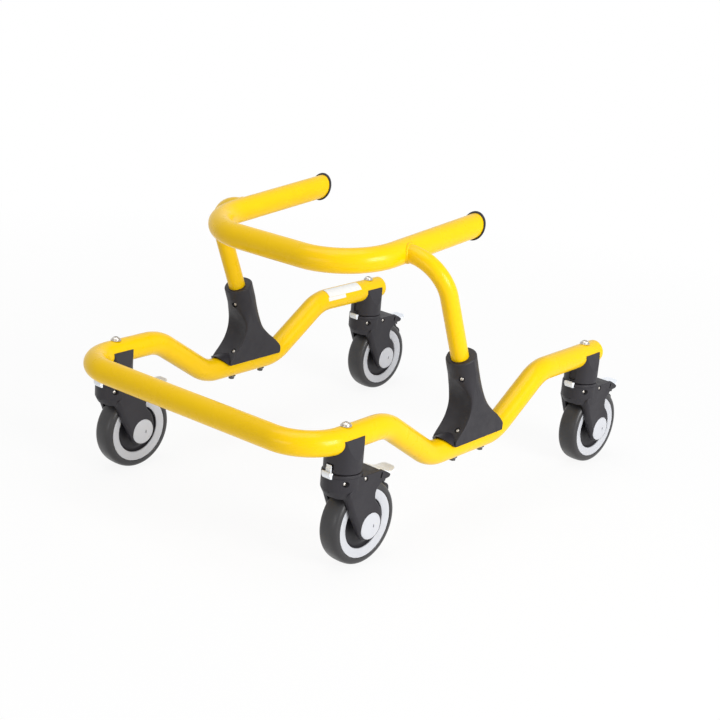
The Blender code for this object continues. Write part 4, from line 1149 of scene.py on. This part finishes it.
def make_floor():
    """A pale floor that runs on into the white background and keeps a soft shadow."""
    mesh = bpy.data.meshes.new("floor")
    far = FLOOR_REACH
    mesh.from_pydata([(-far, -far, 0), (far, -far, 0), (far, far, 0), (-far, far, 0)], [], [(0, 1, 2, 3)])
    floor = link_object("floor", mesh)
    material = bpy.data.materials.new("floor")
    material.use_nodes = True
    tree = material.node_tree
    new, link = tree.nodes.new, tree.links.new
    tree.nodes.clear()
    matt = new("ShaderNodeBsdfDiffuse")
    matt.inputs["Color"].default_value = FLOOR_COLOUR
    glow = new("ShaderNodeEmission")
    glow.inputs["Color"].default_value = BACKGROUND_COLOUR
    place = new("ShaderNodeTexCoord")
    away = new("ShaderNodeVectorMath")
    away.operation = "LENGTH"
    fade = new("ShaderNodeMapRange")
    set_range(fade, *WHITE_FLOOR)
    share = new("ShaderNodeMath")
    share.operation = "MULTIPLY"
    mix = new("ShaderNodeMixShader")
    out = new("ShaderNodeOutputMaterial")
    link(place.outputs["Object"], away.inputs[0])
    link(away.outputs["Value"], fade.inputs[0])
    link(fade.outputs[0], share.inputs[0])
    link(background_rays(tree), share.inputs[1])
    link(share.outputs[0], mix.inputs[0])
    link(matt.outputs[0], mix.inputs[1])
    link(glow.outputs[0], mix.inputs[2])
    link(mix.outputs[0], out.inputs["Surface"])
    mesh.materials.append(material)


def make_world():
    """An even pale room, white where it is looked at straight, off gloss or through glass."""
    world = bpy.data.worlds.new("room")
    bpy.context.scene.world = world
    world.use_nodes = True
    tree = world.node_tree
    new, link = tree.nodes.new, tree.links.new
    room = tree.nodes["Background"]
    room.inputs["Color"].default_value = BACKGROUND_COLOUR
    room.inputs["Strength"].default_value = ROOM_LIGHT
    white = new("ShaderNodeBackground")
    white.inputs["Color"].default_value = BACKGROUND_COLOUR
    white.inputs["Strength"].default_value = 1
    mix = new("ShaderNodeMixShader")
    link(background_rays(tree), mix.inputs[0])
    link(room.outputs[0], mix.inputs[1])
    link(white.outputs[0], mix.inputs[2])
    link(mix.outputs[0], tree.nodes["World Output"].inputs["Surface"])


def make_lamp(name, place, aim, size, power):
    lamp = bpy.data.lights.new(name, "AREA")
    lamp.shape = "RECTANGLE"
    lamp.size, lamp.size_y = size
    lamp.energy = power
    made = link_object(name, lamp)
    made.location = place
    made.rotation_euler = (Vector(aim) - Vector(place)).to_track_quat("-Z", "Y").to_euler()


def make_camera():
    """The photograph's own viewpoint."""
    azimuth, elevation, roll = (radians(value) for value in CAMERA_ANGLES)
    aim = Matrix.Rotation(azimuth, 4, "Z") @ Matrix.Rotation(pi / 2 - elevation, 4, "X")
    data = bpy.data.cameras.new("camera")
    data.sensor_width = 36
    data.lens = CAMERA_FOCAL * data.sensor_width / FRAME_SIZE
    data.shift_x = (FRAME_SIZE / 2 - CAMERA_CENTRE[0]) / FRAME_SIZE
    data.shift_y = (CAMERA_CENTRE[1] - FRAME_SIZE / 2) / FRAME_SIZE
    made = link_object("camera", data)
    made.matrix_world = Matrix.Translation(CAMERA_PLACE) @ aim @ Matrix.Rotation(roll, 4, "Z")
    bpy.context.scene.camera = made


make_floor()
make_world()
for settings in LAMPS:
    make_lamp(*settings)
make_camera()
bpy.context.scene.view_settings.view_transform = "Standard"
